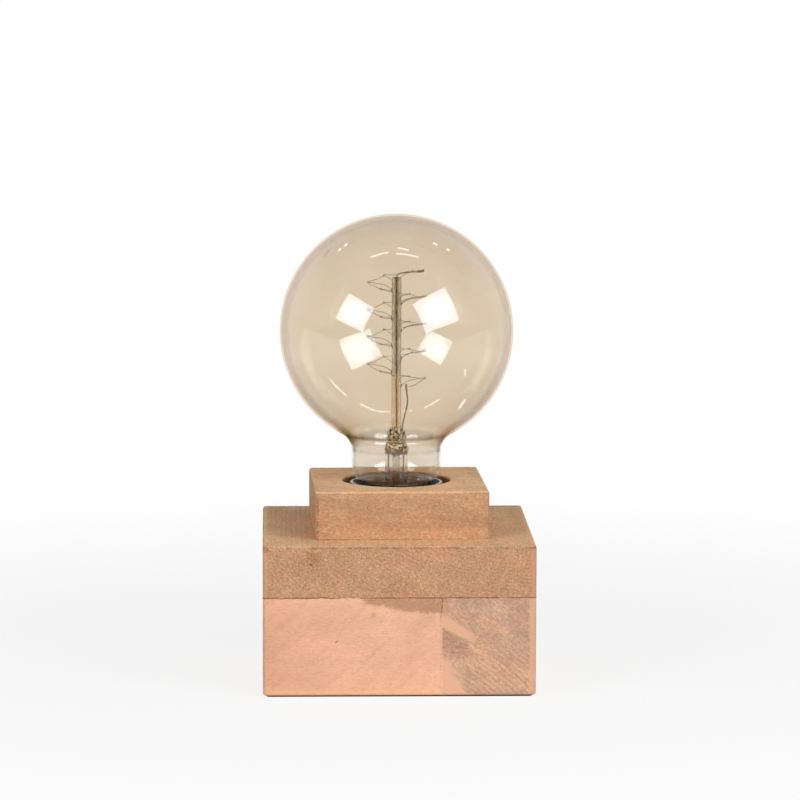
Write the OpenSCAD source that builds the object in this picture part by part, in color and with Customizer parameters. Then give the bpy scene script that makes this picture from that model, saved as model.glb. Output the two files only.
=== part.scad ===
// Bare bulb table lamp: a large clear globe bulb that screws into a lampholder sunk in a
// stepped block of solid wood. Millimetres, +Z up. The origin is at the middle of the
// underside, the front faces -Y and the cord's inlet is at the back.

/* [Wooden base] */
// Side of the square base, for the lower block and the middle board alike
base_w = 109; // [100:1:125]
// Height of the lower block, which is glued up from two staves
lower_h = 39.5; // [34:0.5:50]
// How far right of the middle the joint between those two staves lies
stave_x = 17; // [11.5:0.5:25.5]
// Height of the middle board
middle_h = 20.7; // [16:0.1:28]
// Side of the square collar block on top
collar_w = 70; // [62:1:80]
// Height of the collar block
collar_h = 19.5; // [14:0.5:26]
// How far the collar block and the lampholder sit forward of the middle
collar_shift = 2.4; // [0:0.1:5]
// How far the collar block is turned on the board, in degrees
collar_turn = 1.5; // [-3:0.5:3]
// How far the collar block's middle lies right of the lampholder's
collar_offset = 0.6; // [-2:0.1:2]
// Radius of the upright corners of all the wood
corner_r = 1.6; // [1.5:0.1:5]
// Radius of the eased edges that show
edge_r = 1.1; // [0.4:0.1:1.4]
// Diameter of the pocket that the lampholder stands in
pocket_d = 44; // [42:0.5:50]
// Width of the broken edge round the mouth of the pocket
mouth_ease = 0.6; // [0.2:0.1:1.5]
// Thickness of the wood between the pocket and the wiring chamber
web_t = 10; // [6:1:12]
// Diameter of the wiring chamber in the underside
chamber_d = 31; // [26:1:33]
// Thickness of the felt under the base
felt_t = 0.6; // [0.5:0.1:2]
// How far the felt stays inside the edge of the wood
felt_inset = 1.5; // [0.5:0.5:5]

/* [Cord inlet] */
// Height of the inlet's middle above the underside of the wood
inlet_rise = 10; // [8:0.5:11]
// Bore of the inlet bush
inlet_bore_d = 7; // [5:0.5:8]
// Diameter of the barrel of the inlet bush
bush_d = 10; // [9.5:0.5:12]
// Length of the barrel of the inlet bush
bush_l = 14; // [8:1:20]
// Diameter of the flange of the inlet bush
bush_flange_d = 14; // [13:0.5:16]
// Thickness of that flange
bush_flange_t = 1.5; // [1:0.5:3]

/* [Lampholder] */
// Diameter of the lampholder's shell
holder_d = 39; // [38:0.5:41]
// Height of the lampholder from its foot to its rim
holder_h = 49.3; // [48:0.1:52]
// How far its rim lies below the top of the wood
rim_drop = 0.9; // [0:0.1:3]
// Wall of the shell and of the cap
holder_wall = 2.2; // [1.6:0.1:2.5]
// Height of the shell
shell_h = 33; // [32:0.5:35]
// Thickness of the shell's lip
lip_t = 2.2; // [1.6:0.1:3]
// Diameter of the mouth in that lip
mouth_d = 28.8; // [28.6:0.1:30]
// How far the mouth widens towards the rim, on each side
mouth_flare = 1.9; // [0.5:0.1:2]
// Diameter of the cap's foot
foot_d = 19; // [16:0.5:22]
// Height of the spigot that joins the cap to the shell
spigot_h = 4; // [3:0.5:5]
// Height of the insulating block
block_h = 12; // [11:0.5:13]
// Depth of the recess in that block, under the bulb's tip
recess_h = 7.5; // [6.5:0.1:8.5]
// Diameter of that recess
recess_d = 23; // [22:0.5:24]
// Thickness of the contact strips
strip_t = 0.5; // [0.3:0.1:0.8]
// Width of the contact strips
strip_w = 5; // [4:0.5:6]
// Side of the cube-shaped terminals
terminal_w = 5; // [4:0.5:6]
// Distance of the terminals from the middle
terminal_x = 7.5; // [7:0.1:8.5]
// Diameter of the terminal screws
screw_d = 3; // [2:0.5:3.5]

/* [Nipple] */
// Diameter of the threaded nipple
nipple_d = 10; // [8:0.5:12]
// Bore of the nipple
nipple_bore_d = 7.4; // [5:0.1:7.4]
// How far the nipple stays below the top of the boss in the lampholder's foot
nipple_short = 2; // [1:0.5:4]
// Diameter of the washer
washer_d = 24; // [18:1:26]
// Thickness of the washer
washer_t = 1.5; // [1:0.5:2.5]
// Width across flats of the nut
nut_w = 14; // [14:0.5:17]
// Height of the nut
nut_h = 3.5; // [2:0.5:5]

/* [Bulb glass] */
// Diameter of the globe
globe_d = 95; // [80:1:104]
// Diameter of the neck
neck_d = 36.5; // [34:0.1:38]
// Length of the neck's straight stretch, up to the hollow curve
neck_l = 4.7; // [2:0.1:15]
// Radius of the hollow curve between the neck and the globe
neck_curve_r = 8; // [5:0.5:10]
// Radius of the curve that draws the neck in below its straight stretch
taper_r = 16; // [12:0.5:20]
// How far round that curve goes, in degrees
taper_angle = 24; // [18:1:26]
// Radius of the shoulder at the foot of the neck
shoulder_r = 2.5; // [2:0.1:3]
// Wall of the glass
glass_t = 0.8; // [0.5:0.1:1.2]
// Diameter of the glass skirt that is cemented into the cap
skirt_d = 23.2; // [22:0.1:23.3]

/* [Bulb mount] */
// Diameter of the flare tube
flare_d = 9.5; // [9:0.1:10.5]
// Wall of the flare tube
flare_t = 0.9; // [0.6:0.1:1]
// Height of the press in which the flare tube ends
press_h = 9.4; // [8:0.1:11]
// Width of the press
press_w = 7.9; // [7.6:0.1:8.6]
// Thickness of the press at its top
press_t = 4; // [4:0.1:5]
// Height of the press's top above the tip of the contact
press_top = 48.3; // [46:0.1:52]
// Diameter of the exhaust tube
exhaust_d = 3.2; // [2.5:0.1:3.6]
// Wall of the exhaust tube
exhaust_t = 0.6; // [0.4:0.1:0.8]
// Diameter of the glass arbor
arbor_d = 3.8; // [3:0.1:4.4]
// Bore of the arbor
arbor_bore_d = 1.5; // [1.2:0.1:1.8]
// Length of the arbor
arbor_l = 61.7; // [58:0.1:64]
// Diameter of the lead wires
lead_d = 0.65; // [0.4:0.05:0.8]
// Distance of the lead wires from the middle in the flare tube
lead_x = 2.9; // [2.6:0.1:3]
// Reach of the long lead at the top of the arbor
lead_reach = 8.6; // [6:0.1:10]
// Height of the short lead's end above the press
short_lead_l = 15.5; // [12:0.5:18]
// Diameter of the clamps on the ends of the leads
clamp_d = 1.1; // [0.9:0.05:1.4]
// Length of those clamps
clamp_l = 2.6; // [1.5:0.1:4]

/* [Filament] */
// Radius of the cage that the filament is strung round
cage_r = 11.6; // [9:0.1:14]
// Drop of the filament in one turn
cage_pitch = 11.15; // [9:0.05:11.5]
// Number of hooks in one turn
hooks_per_turn = 6; // [5:1:8]
// Number of hooks in all
hook_count = 24; // [12:1:26]
// Direction of the first hook, in degrees from the right
first_hook_angle = 55; // [0:5:90]
// Height of the first hook above the top of the arbor
first_hook_rise = 1.7; // [0:0.1:3]
// How far a hook rises from the arbor to its loop
hook_rise = 3.3; // [2:0.1:5]
// Diameter of the support wires
hook_wire_d = 0.25; // [0.2:0.05:0.4]
// Radius of the loop at the end of a support wire
hook_loop_r = 0.5; // [0.45:0.05:0.8]
// Diameter of the filament
filament_d = 0.2; // [0.2:0.05:0.4]
// Sag of the filament between two hooks
filament_sag = 0.5; // [0:0.1:1]

/* [Bulb cap] */
// Height of the bulb's cap from the tip of its contact to its rim
cap_h = 26.5; // [26.2:0.1:26.6]
// Outer radius of the cap, halfway up its thread
cap_r = 12.62; // [12.5:0.01:12.7]
// Room between the cap and the threaded sleeve
thread_room = 0.3; // [0.25:0.05:0.4]
// How far the collar above the thread stands out
collar_step = 0.4; // [0.2:0.1:0.5]
// How far the rim flares past the collar
rim_flare = 0.3; // [0.1:0.1:0.4]
// Thickness of the bulb's cap
cap_t = 0.25; // [0.2:0.05:0.3]
// Thickness of the sleeve
sleeve_t = 0.35; // [0.25:0.05:0.4]
// Diameter of the contact at the bulb's tip
tip_d = 9.8; // [8:0.1:11]
// Height of that contact
tip_h = 1.5; // [1:0.1:2]

/* [Fit] */
// Room between parts that slide into each other
slip = 0.1; // [0.05:0.05:0.2]
// Room between the bulb's tip and the spring contact
contact_room = 0.25; // [0.2:0.05:0.4]
// Room round a wire that is sealed in glass
seal_room = 0.02; // [0.01:0.01:0.05]

/* [Hidden] */
$fn = 64;

// Levels of the base, from the surface that it stands on
wood_z = felt_t;
middle_z = wood_z + lower_h;
collar_z = middle_z + middle_h;
top_z = collar_z + collar_h;
rim_z = top_z - rim_drop;
foot_z = rim_z - holder_h;
chamber_top_z = foot_z - web_t;
inlet_z = wood_z + inlet_rise;
chamber_r = chamber_d / 2;
pocket_r = pocket_d / 2;

// Lampholder, measured down from its rim
holder_r = holder_d / 2;
shell_bore_r = holder_r - holder_wall;
mouth_r = mouth_d / 2;
rim_round = 1;
throat_t = 1.2;
throat_h = 8;
spigot_r = shell_bore_r - slip;
spigot_bore_r = spigot_r - 1.8;
dome_h = holder_h - shell_h;
dome_side_h = dome_h / 4;
dome_foot_h = dome_h / 5;
dome_waist_h = dome_h / 3;
dome_waist_r = (holder_r * 2 + foot_d / 2) / 3;

// Bulb's levels, measured up from the tip of its contact
tip_drop = 26.3;
tip_z = rim_z - tip_drop;
neck_r = neck_d / 2;
shoulder_z = cap_h + slip + shoulder_r;
taper_z = shoulder_z + (taper_r - shoulder_r) * sin(taper_angle);
neck_top = taper_z + neck_l;
globe_r = globe_d / 2;
globe_z = neck_top + sqrt(pow(globe_r + neck_curve_r, 2) - pow(neck_r + neck_curve_r, 2));
bulb_l = globe_z + globe_r;
skirt_r = skirt_d / 2;
skirt_z = 17.7;
flare_r = flare_d / 2;
flare_curve_r = skirt_r - glass_t - flare_r;
flare_curve_z = skirt_z + flare_curve_r;
press_z = press_top - press_h;
arbor_top = press_top + arbor_l;
exhaust_end = 9;
lead_r = lead_d / 2;

// Insulating block
block_gap = 4.4;
block_z = tip_z + block_gap;
block_foot_z = block_z - block_h;
recess_z = block_z - recess_h;
block_r = spigot_bore_r - slip;
block_flange_r = shell_bore_r - slip * 2;
spigot_z = rim_z - shell_h + spigot_h;
side_strip_x = cap_r + thread_room + strip_t / 2;
screw_head_h = screw_d * 0.6;
head_room = 0.6;
boss_z = block_foot_z - terminal_w - screw_head_h - head_room;

// Bulb's cap and the sleeve that it screws into
cap_foot_z = 5.2;
cap_turn_in = 1.6;
cap_turn_h = 1.4;
collar_z0 = 23.5;
collar_r = cap_r + collar_step;
cap_bore_r = cap_r - cap_t;
tip_dome_r = 20;
sleeve_r = cap_r + thread_room;
sleeve_top = tip_drop - lip_t - 0.2;
sleeve_lip = 0.6;
sleeve_lip_h = 2.4;

// Filament's hooks
hook_step = 360 / hooks_per_turn;
hook_wire_r = hook_wire_d / 2;
hook_embed = 0.7;
elbow_out = 1.8;
elbow_up = 1.6;
rings_per_hook = 4;
hook_start = [arbor_d / 2 - hook_embed, 0, -hook_rise];
hook_elbow = [arbor_d / 2 + elbow_out, 0, elbow_up - hook_rise];
hook_end = [cage_r - hook_loop_r, 0, 0];
first_hook_z = arbor_top + first_hook_rise;
lead_end = [lead_reach, 0, arbor_top + 2.4];
short_lead_x = 4.1;
short_lead_top = press_top + short_lead_l;

// ---- Shared shapes -------------------------------------------------------------------------

// Moves its children onto the axis of the pocket and the bulb
module on_axis(z = 0) {
  translate([0, -collar_shift, z]) children();
}

// Half of a slab's cross-section, its outer corners rounded
module slab_profile(half, h, top_e, bottom_e) {
  difference() {
    square([half, h]);
    if (top_e > 0) translate([half - top_e, h - top_e]) corner_waste(top_e);
    if (bottom_e > 0) translate([half - bottom_e, bottom_e]) mirror([0, 1]) corner_waste(bottom_e);
  }
}

// What rounding takes off a corner
module corner_waste(e) {
  difference() {
    square(e + 1);
    circle(e);
  }
}

// A square slab with rounded upright corners and eased edges
module eased_slab(w, h, top_e, bottom_e) {
  for (turn = [0, 90]) rotate([90, 0, turn])
    linear_extrude(w - 2 * corner_r, center = true)
      for (side = [0, 1]) mirror([side, 0]) slab_profile(w / 2, h, top_e, bottom_e);
  for (turn = [0:90:270]) rotate([0, 0, turn])
    translate([w / 2 - corner_r, w / 2 - corner_r, 0])
      rotate_extrude() slab_profile(corner_r, h, top_e, bottom_e);
}

// A straight round wire from one point to another
module wire_between(p, q, r) {
  d = q - p;
  flat = norm([d.x, d.y]);
  translate(p) rotate([0, atan2(flat, d.z), atan2(d.y, d.x)]) cylinder(r = r, h = norm(d), $fn = 16);
}

// Points along an arc, in steps of 4 degrees or less
function arc(middle, r, from, to) =
  let (steps = ceil(abs(to - from) / 4), turn = (to - from) / steps)
  [for (i = [0:steps]) middle + r * [cos(from + turn * i), sin(from + turn * i)]];

function unit(v) = v / norm(v);

// Direction of a path at one of its points
function heading(path, i) =
  unit(path[min(i + 1, len(path) - 1)] - path[max(i - 1, 0)]);

// One ring of points round a path
function ring(p, along, up, r, sides) =
  let (u = unit(cross(up, along)), v = cross(along, u))
  [for (k = [0:sides - 1]) p + r * (u * cos(360 * k / sides) + v * sin(360 * k / sides))];

// A wire swept along a path; up is any direction that the path never takes
module wire_along(path, r, sides, up) {
  n = len(path);
  points = [for (i = [0:n - 1]) each ring(path[i], heading(path, i), up, r, sides)];
  walls = [for (i = [0:n - 2], k = [0:sides - 1])
    let (a = i * sides + k, b = i * sides + (k + 1) % sides)
    each [[a, a + sides, b], [b, a + sides, b + sides]]];
  foot = [for (k = [1:sides - 2]) [0, k, k + 1]];
  head = [for (k = [1:sides - 2]) [(n - 1) * sides, (n - 1) * sides + k + 1, (n - 1) * sides + k]];
  polyhedron(points, concat(walls, foot, head));
}

// ---- Wooden base ---------------------------------------------------------------------------

module pocket() {
  on_axis(foot_z) cylinder(r = pocket_r, h = top_z);
}

// Both staves of the lower block as one piece
module lower_block() {
  difference() {
    translate([0, 0, wood_z]) eased_slab(base_w, lower_h, 0, edge_r);
    pocket();
    on_axis() cylinder(d = nipple_d + 4 * slip, h = foot_z + 1);
    on_axis(wood_z - 1) cylinder(r = chamber_r, h = chamber_top_z - wood_z + 1);
    translate([0, 0, inlet_z]) rotate([-90, 0, 0]) cylinder(d = bush_d + slip, h = base_w);
  }
}

module lower_block_left() {
  color("burlywood") intersection() {
    lower_block();
    translate([-base_w, -base_w, 0]) cube([base_w + stave_x, 2 * base_w, middle_z + 1]);
  }
}

module lower_block_right() {
  color("tan") intersection() {
    lower_block();
    translate([stave_x, -base_w, 0]) cube([base_w, 2 * base_w, middle_z + 1]);
  }
}

module middle_board() {
  color("peru") difference() {
    translate([0, 0, middle_z]) eased_slab(base_w, middle_h, edge_r, 0);
    pocket();
  }
}

module collar_block() {
  color("sandybrown") difference() {
    on_axis(collar_z) translate([collar_offset, 0, 0]) rotate([0, 0, collar_turn])
      eased_slab(collar_w, collar_h, edge_r, 0);
    pocket();
    on_axis(top_z - mouth_ease) cylinder(r1 = pocket_r, r2 = pocket_r + 2 * mouth_ease, h = 2 * mouth_ease);
  }
}

module felt_base() {
  felt_w = base_w - 2 * felt_inset;
  color("dimgray") linear_extrude(felt_t) {
    square([felt_w, felt_w - 2 * corner_r], center = true);
    square([felt_w - 2 * corner_r, felt_w], center = true);
    for (x = [-1, 1], y = [-1, 1])
      translate([x, y] * (felt_w / 2 - corner_r)) circle(corner_r);
  }
}

module cord_bush() {
  color("black") translate([0, base_w / 2, inlet_z]) rotate([90, 0, 0]) difference() {
    union() {
      cylinder(d = bush_d, h = bush_l);
      translate([0, 0, -bush_flange_t]) cylinder(d = bush_flange_d, h = bush_flange_t);
    }
    translate([0, 0, -bush_flange_t - 1]) cylinder(d = inlet_bore_d, h = bush_l + bush_flange_t + 2);
  }
}

// ---- Nipple --------------------------------------------------------------------------------

nut_z = chamber_top_z - washer_t - nut_h;
nipple_z = nut_z - 1;

module nipple() {
  color("silver") on_axis(nipple_z) difference() {
    cylinder(d = nipple_d, h = boss_z - nipple_short - nipple_z);
    translate([0, 0, -1]) cylinder(d = nipple_bore_d, h = holder_h);
  }
}

module nipple_washer() {
  color("gray") on_axis(chamber_top_z - washer_t) difference() {
    cylinder(d = washer_d, h = washer_t);
    translate([0, 0, -1]) cylinder(d = nipple_d + 4 * slip, h = washer_t + 2);
  }
}

module nipple_nut() {
  color("silver") on_axis(nut_z) difference() {
    cylinder(d = nut_w / cos(30), h = nut_h, $fn = 6);
    translate([0, 0, -1]) cylinder(d = nipple_d + slip, h = nut_h + 2);
  }
}

// ---- Lampholder ----------------------------------------------------------------------------

module holder_shell() {
  color("black") on_axis(rim_z) rotate_extrude() {
    difference() {
      translate([0, -shell_h]) slab_profile(holder_r, shell_h, rim_round, 0);
      translate([0, -shell_h - 1]) square([shell_bore_r, shell_h + 1 - lip_t]);
      translate([0, -lip_t - 1]) square([mouth_r, lip_t + 2]);
      flare_edge_r = mouth_r + mouth_flare;
      polygon([[0, -lip_t], [mouth_r, -lip_t], [flare_edge_r, 0], [flare_edge_r, 1], [0, 1]]);
    }
    translate([mouth_r, -throat_h]) square([throat_t, throat_h - lip_t / 2]);
  }
}

// Outline of the cap's dome, drawn in by t
function dome(t, top_y, floor_y) = [
  [0, top_y], [holder_r - t, top_y], [holder_r - t, -dome_side_h],
  [dome_waist_r - t, -dome_side_h - dome_waist_h],
  [foot_d / 2 - t, dome_foot_h - dome_h],
  [foot_d / 2 - t, floor_y], [0, floor_y]];

module holder_cap() {
  color("black") on_axis(rim_z - shell_h) rotate_extrude() difference() {
    union() {
      polygon(dome(0, 0, -dome_h));
      translate([0, -holder_wall / 2]) square([spigot_r, spigot_h + holder_wall / 2]);
    }
    polygon(dome(holder_wall, -holder_wall, boss_z - rim_z + shell_h));
    translate([0, -holder_wall - 1]) square([spigot_bore_r, spigot_h + holder_wall + 2]);
    translate([0, -dome_h - 1]) square([(nipple_d + slip) / 2, dome_h]);
  }
}

module contact_block() {
  color("white") difference() {
    union() {
      on_axis(block_foot_z) cylinder(r = block_r, h = block_h);
      on_axis(spigot_z + slip) cylinder(r = block_flange_r, h = block_z - spigot_z - slip);
    }
    on_axis(recess_z) cylinder(d = recess_d, h = block_h);
    on_axis(block_foot_z) {
      strip_slot(-terminal_x, block_h);
      strip_slot(side_strip_x, block_h);
    }
  }
}

// Slot through the block for the leg of a contact strip
module strip_slot(x, h) {
  translate([x, 0, h / 2])
    cube([strip_t + 2 * slip, strip_w + 2 * slip, h + 2], center = true);
}

// Sprung tongue under the bulb's tip, its leg through the block to the left terminal
module centre_contact() {
  tongue_top = tip_z - contact_room - recess_z;
  leg_x = -terminal_x - strip_t / 2;
  color("goldenrod") on_axis(recess_z) rotate([90, 0, 0])
    linear_extrude(strip_w, center = true) polygon([
      [leg_x, block_foot_z - recess_z], [leg_x + strip_t, block_foot_z - recess_z],
      [leg_x + strip_t, 0], [-3, 0], [1, tongue_top - strip_t], [4, tongue_top - strip_t],
      [5, tongue_top - strip_t - 1], [5.4, tongue_top - 1 - strip_t / 2],
      [4.2, tongue_top], [0.8, tongue_top],
      [-3.2, strip_t], [leg_x, strip_t]]);
}

// Upright strip from the right terminal to the threaded sleeve
module side_contact() {
  bottom = block_foot_z - terminal_w / 2;
  color("goldenrod") on_axis(bottom)
    translate([side_strip_x - strip_t / 2, -strip_w / 2, 0])
      cube([strip_t, strip_w, block_z - bottom - slip / 2]);
  color("goldenrod") on_axis(bottom)
    translate([terminal_x + terminal_w / 2, -strip_w / 2, 0])
      cube([side_strip_x - terminal_x - terminal_w / 2, strip_w, strip_t]);
}

module terminal_blocks() {
  color("gold") on_axis(block_foot_z - terminal_w) for (side = [-1, 1])
    translate([side * terminal_x, 0, 0]) difference() {
      translate([-terminal_w / 2, -terminal_w / 2, 0]) cube(terminal_w);
      translate([0, 0, -1]) cylinder(d = screw_d + slip, h = terminal_w);
    }
}

module terminal_screws() {
  head_d = screw_d * 1.6;
  color("silver") on_axis(block_foot_z - terminal_w) for (side = [-1, 1])
    translate([side * terminal_x, 0, 0]) difference() {
      union() {
        cylinder(d = screw_d, h = terminal_w - 1.5);
        translate([0, 0, -screw_head_h]) cylinder(d = head_d, h = screw_head_h);
      }
      translate([-head_d, -0.3, -screw_head_h - 1]) cube([2 * head_d, 0.6, 1 + screw_head_h / 2]);
    }
}

// Stamped sleeve that takes the bulb's thread, opened out at its mouth
module thread_sleeve() {
  outer_r = sleeve_r + sleeve_t;
  lip_z = sleeve_top - sleeve_lip_h;
  lip_mid_z = sleeve_top - sleeve_lip_h / 2;
  color("silver") on_axis(tip_z) rotate_extrude() polygon([
    [sleeve_r, block_gap], [outer_r, block_gap], [outer_r, lip_z],
    [outer_r + sleeve_lip, lip_mid_z], [outer_r + sleeve_lip, sleeve_top],
    [sleeve_r + sleeve_lip, sleeve_top], [sleeve_r + sleeve_lip, lip_mid_z], [sleeve_r, lip_z]]);
}

// ---- Bulb ----------------------------------------------------------------------------------

// Section of the bulb on the right of its axis, drawn in by t; its foot runs down to foot_y
module bulb_section(t, foot_y) {
  intersection() {
    translate([0, foot_y]) square([globe_d, bulb_l]);
    union() {
      translate([0, globe_z]) circle(globe_r - t, $fn = 180);
      difference() {
        polygon([[0, neck_top], [neck_r + neck_curve_r, neck_top], [0, globe_z]]);
        translate([neck_r + neck_curve_r, neck_top]) circle(neck_curve_r + t);
      }
      translate([0, taper_z]) square([neck_r - t, neck_top - taper_z + 0.01]);
      neck_foot(t);
      translate([0, foot_y]) square([skirt_r - t, taper_z - foot_y]);
    }
  }
}

// Half of the neck's cross-section below its straight stretch, drawn in by t
module neck_foot(t) {
  taper_middle = [neck_r - taper_r, taper_z];
  shoulder_middle = [taper_middle.x + (taper_r - shoulder_r) * cos(taper_angle), shoulder_z];
  polygon(concat(
    [[0, taper_z + 0.01], [neck_r - t, taper_z + 0.01]],
    arc(taper_middle, taper_r - t, 0, -taper_angle),
    arc(shoulder_middle, shoulder_r - t, -taper_angle, -90),
    [[0, shoulder_z - shoulder_r + t]]));
}

module bulb_glass() {
  color("wheat", 0.4) on_axis(tip_z) rotate_extrude($fn = 180) difference() {
    bulb_section(0, skirt_z);
    bulb_section(glass_t, skirt_z - 1);
  }
}

// Flare tube, its trumpet end fused to the skirt, with the press at its top
module stem() {
  wedge_angle = atan((flare_r - press_t / 2) / press_h);
  color("lightcyan", 0.5) on_axis(tip_z) {
    rotate_extrude() {
      translate([flare_r - flare_t, flare_curve_z]) square([flare_t, press_z - flare_curve_z + 0.5]);
      intersection() {
        translate([0, skirt_z - flare_t]) square([skirt_r - glass_t, flare_curve_r + flare_t]);
        translate([skirt_r - glass_t, flare_curve_z]) difference() {
          circle(flare_curve_r + flare_t);
          circle(flare_curve_r);
        }
      }
    }
    difference() {
      translate([0, 0, press_z]) cylinder(r = flare_r, h = press_h);
      for (side = [0, 1]) rotate([0, 0, 180 * side]) {
        translate([-flare_d, flare_r, press_z]) rotate([wedge_angle, 0, 0])
          cube([2 * flare_d, flare_d, 2 * press_h]);
        translate([press_w / 2, -flare_d, press_z + 1.5]) cube([flare_d, 2 * flare_d, press_h]);
      }
      wire_along(long_lead_path, lead_r + seal_room, 8, [0, 1, 0]);
      wire_along(short_lead_path, lead_r + seal_room, 8, [0, 1, 0]);
    }
  }
}

module exhaust_tube() {
  r = exhaust_d / 2;
  bore_r = r - exhaust_t;
  color("lightcyan", 0.5) on_axis(tip_z) rotate_extrude() difference() {
    polygon([[0, exhaust_end], [r / 2, exhaust_end + 1], [r, exhaust_end + 4], [r, press_z], [0, press_z]]);
    polygon([[0, exhaust_end + 4], [bore_r, exhaust_end + 6], [bore_r, press_z + 1], [0, press_z + 1]]);
  }
}

module arbor() {
  color("burlywood", 0.6) on_axis(tip_z) difference() {
    translate([0, 0, press_top]) cylinder(d = arbor_d, h = arbor_l, $fn = 32);
    translate([0, 0, press_top - 1]) cylinder(d = arbor_bore_d, h = arbor_l + 2, $fn = 32);
    for (i = [0:hook_count - 1]) translate([0, 0, hook_z(i)]) rotate([0, 0, hook_angle(i)])
      wire_between(hook_start, hook_elbow, hook_wire_r + seal_room);
  }
}

long_lead_path = [
  [0, 0, tip_h + 0.3], [-1.2, 0, 5], [-lead_x, 0, 10], [-lead_x, 0, press_z + 1],
  [-lead_x * 0.7, 0, press_z + 3.5], [-0.3, 0, press_top - 2], [0, 0, press_top],
  [0, 0, arbor_top], [0.3, 0, arbor_top + 0.9], [1.3, 0, arbor_top + 1.5], lead_end];

short_lead_path = [
  [cap_bore_r - slip, 0, 13], [lead_x + 3, 0, 13.5], [lead_x + 0.6, 0, 15], [lead_x, 0, 18],
  [lead_x, 0, press_top - 3], [2.5, 0, press_top], [3.4, 0, press_top + 5],
  [short_lead_x + 0.4, 0, short_lead_top - 5], [short_lead_x, 0, short_lead_top]];

module long_lead() {
  color("dimgray") on_axis(tip_z) wire_along(long_lead_path, lead_r, 8, [0, 1, 0]);
}

module short_lead() {
  color("dimgray") on_axis(tip_z) wire_along(short_lead_path, lead_r, 8, [0, 1, 0]);
}

// Clamps that pinch the ends of the filament onto the leads
module lead_clamps() {
  before = long_lead_path[len(long_lead_path) - 2];
  color("gray") on_axis(tip_z) {
    clamp(lead_end, unit(lead_end - before));
    clamp([short_lead_x, 0, short_lead_top], unit([-0.08, 0, 1]));
  }
}

// A clamp just past the end of a wire, which points along d
module clamp(end, d) {
  wire_between(end, end + d * clamp_l, clamp_d / 2);
}

// ---- Filament ------------------------------------------------------------------------------

function hook_angle(i) = first_hook_angle + i * hook_step;
function hook_z(i) = first_hook_z - i * cage_pitch / hooks_per_turn;
function hook_point(i) = [cage_r * cos(hook_angle(i)), cage_r * sin(hook_angle(i)), hook_z(i)];

// The filament sags between hooks and runs to the clamps at its two ends
function sag(p, q, t) = p + (q - p) * t - [0, 0, filament_sag * sin(180 * t)];
filament_start = lead_end + [clamp_l + filament_d, 0.6, 0];
filament_finish = [short_lead_x + clamp_d, 0, short_lead_top + clamp_l / 2];
filament_path = concat(
  [for (j = [0:rings_per_hook - 1]) sag(filament_start, hook_point(0), j / rings_per_hook)],
  [for (i = [0:hook_count - 2], j = [0:rings_per_hook - 1])
    sag(hook_point(i), hook_point(i + 1), j / rings_per_hook)],
  [for (j = [0:rings_per_hook]) sag(hook_point(hook_count - 1), filament_finish, j / rings_per_hook)]);

// Least gap between turns of the filament, measured on its points
filament_gap = min([for (i = [0:len(filament_path) - 1], j = [0:len(filament_path) - 1])
  if (j - i > rings_per_hook * 2) norm(filament_path[i] - filament_path[j])]) - filament_d;

module filament() {
  echo(least_gap_of_filament = filament_gap);
  color("black") on_axis(tip_z) wire_along(filament_path, filament_d / 2, 6, [0, 0, 1]);
}

// One support wire: out of the arbor, up past an elbow and out to a loop round the filament
module support_wire(i) {
  translate([0, 0, hook_z(i)]) rotate([0, 0, hook_angle(i)]) {
    wire_between(hook_start, hook_elbow, hook_wire_r);
    translate(hook_elbow) sphere(hook_wire_r * 1.1, $fn = 16);
    wire_between(hook_elbow, hook_end, hook_wire_r);
    translate([cage_r, 0, 0]) rotate([90, 0, 0]) rotate([0, 0, 105])
      rotate_extrude(angle = 300, $fn = 24) translate([hook_loop_r, 0]) circle(hook_wire_r, $fn = 16);
  }
}

module support_wires() {
  color("dimgray") on_axis(tip_z) for (i = [0:hook_count - 1]) support_wire(i);
}

// ---- Foot of the bulb ----------------------------------------------------------------------

// Outline of the bulb's brass cap, drawn in by t
function cap_outline(t) = [
  [cap_r - cap_turn_in - t / 2, cap_foot_z], [cap_r - t, cap_foot_z + cap_turn_h],
  [cap_r - t, collar_z0 - collar_step], [collar_r - t, collar_z0],
  [collar_r - t, cap_h - 2 * rim_flare], [collar_r + rim_flare - t, cap_h]];

module screw_cap() {
  color("darkgoldenrod") on_axis(tip_z) rotate_extrude()
    polygon(concat(cap_outline(0), [for (i = [5:-1:0]) cap_outline(cap_t)[i]]));
}

module cap_cement() {
  color("linen") on_axis(tip_z + collar_z0 + slip) difference() {
    cylinder(r = collar_r - cap_t - slip / 2, h = cap_h - collar_z0 - 3 * rim_flare);
    translate([0, 0, -1]) cylinder(r = skirt_r + slip / 2, h = cap_h);
  }
}

// Black glass that holds the tip contact in the foot of the cap
module cap_insulator() {
  rim_r = cap_r - cap_turn_in - cap_t - slip;
  color("midnightblue") on_axis(tip_z) rotate_extrude() polygon([
    [1.5, tip_h], [tip_d / 2 + 0.6, tip_h], [tip_d / 2 + 1, tip_h + 0.4],
    [rim_r - 0.4, cap_foot_z - 0.4], [rim_r, cap_foot_z], [rim_r, cap_foot_z + 2.6],
    [rim_r - 3, cap_foot_z + 2.6], [3, tip_h + 2], [1.5, tip_h + 2]]);
}

module tip_contact() {
  color("lightgray") on_axis(tip_z) rotate_extrude() intersection() {
    square([tip_d / 2, tip_h]);
    translate([0, tip_dome_r]) circle(tip_dome_r, $fn = 180);
  }
}

felt_base();
lower_block_left();
lower_block_right();
middle_board();
collar_block();
cord_bush();
nipple();
nipple_washer();
nipple_nut();
holder_shell();
holder_cap();
contact_block();
thread_sleeve();
centre_contact();
side_contact();
terminal_blocks();
terminal_screws();
bulb_glass();
stem();
exhaust_tube();
arbor();
long_lead();
short_lead();
lead_clamps();
support_wires();
filament();
screw_cap();
cap_cement();
cap_insulator();
tip_contact();
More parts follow.
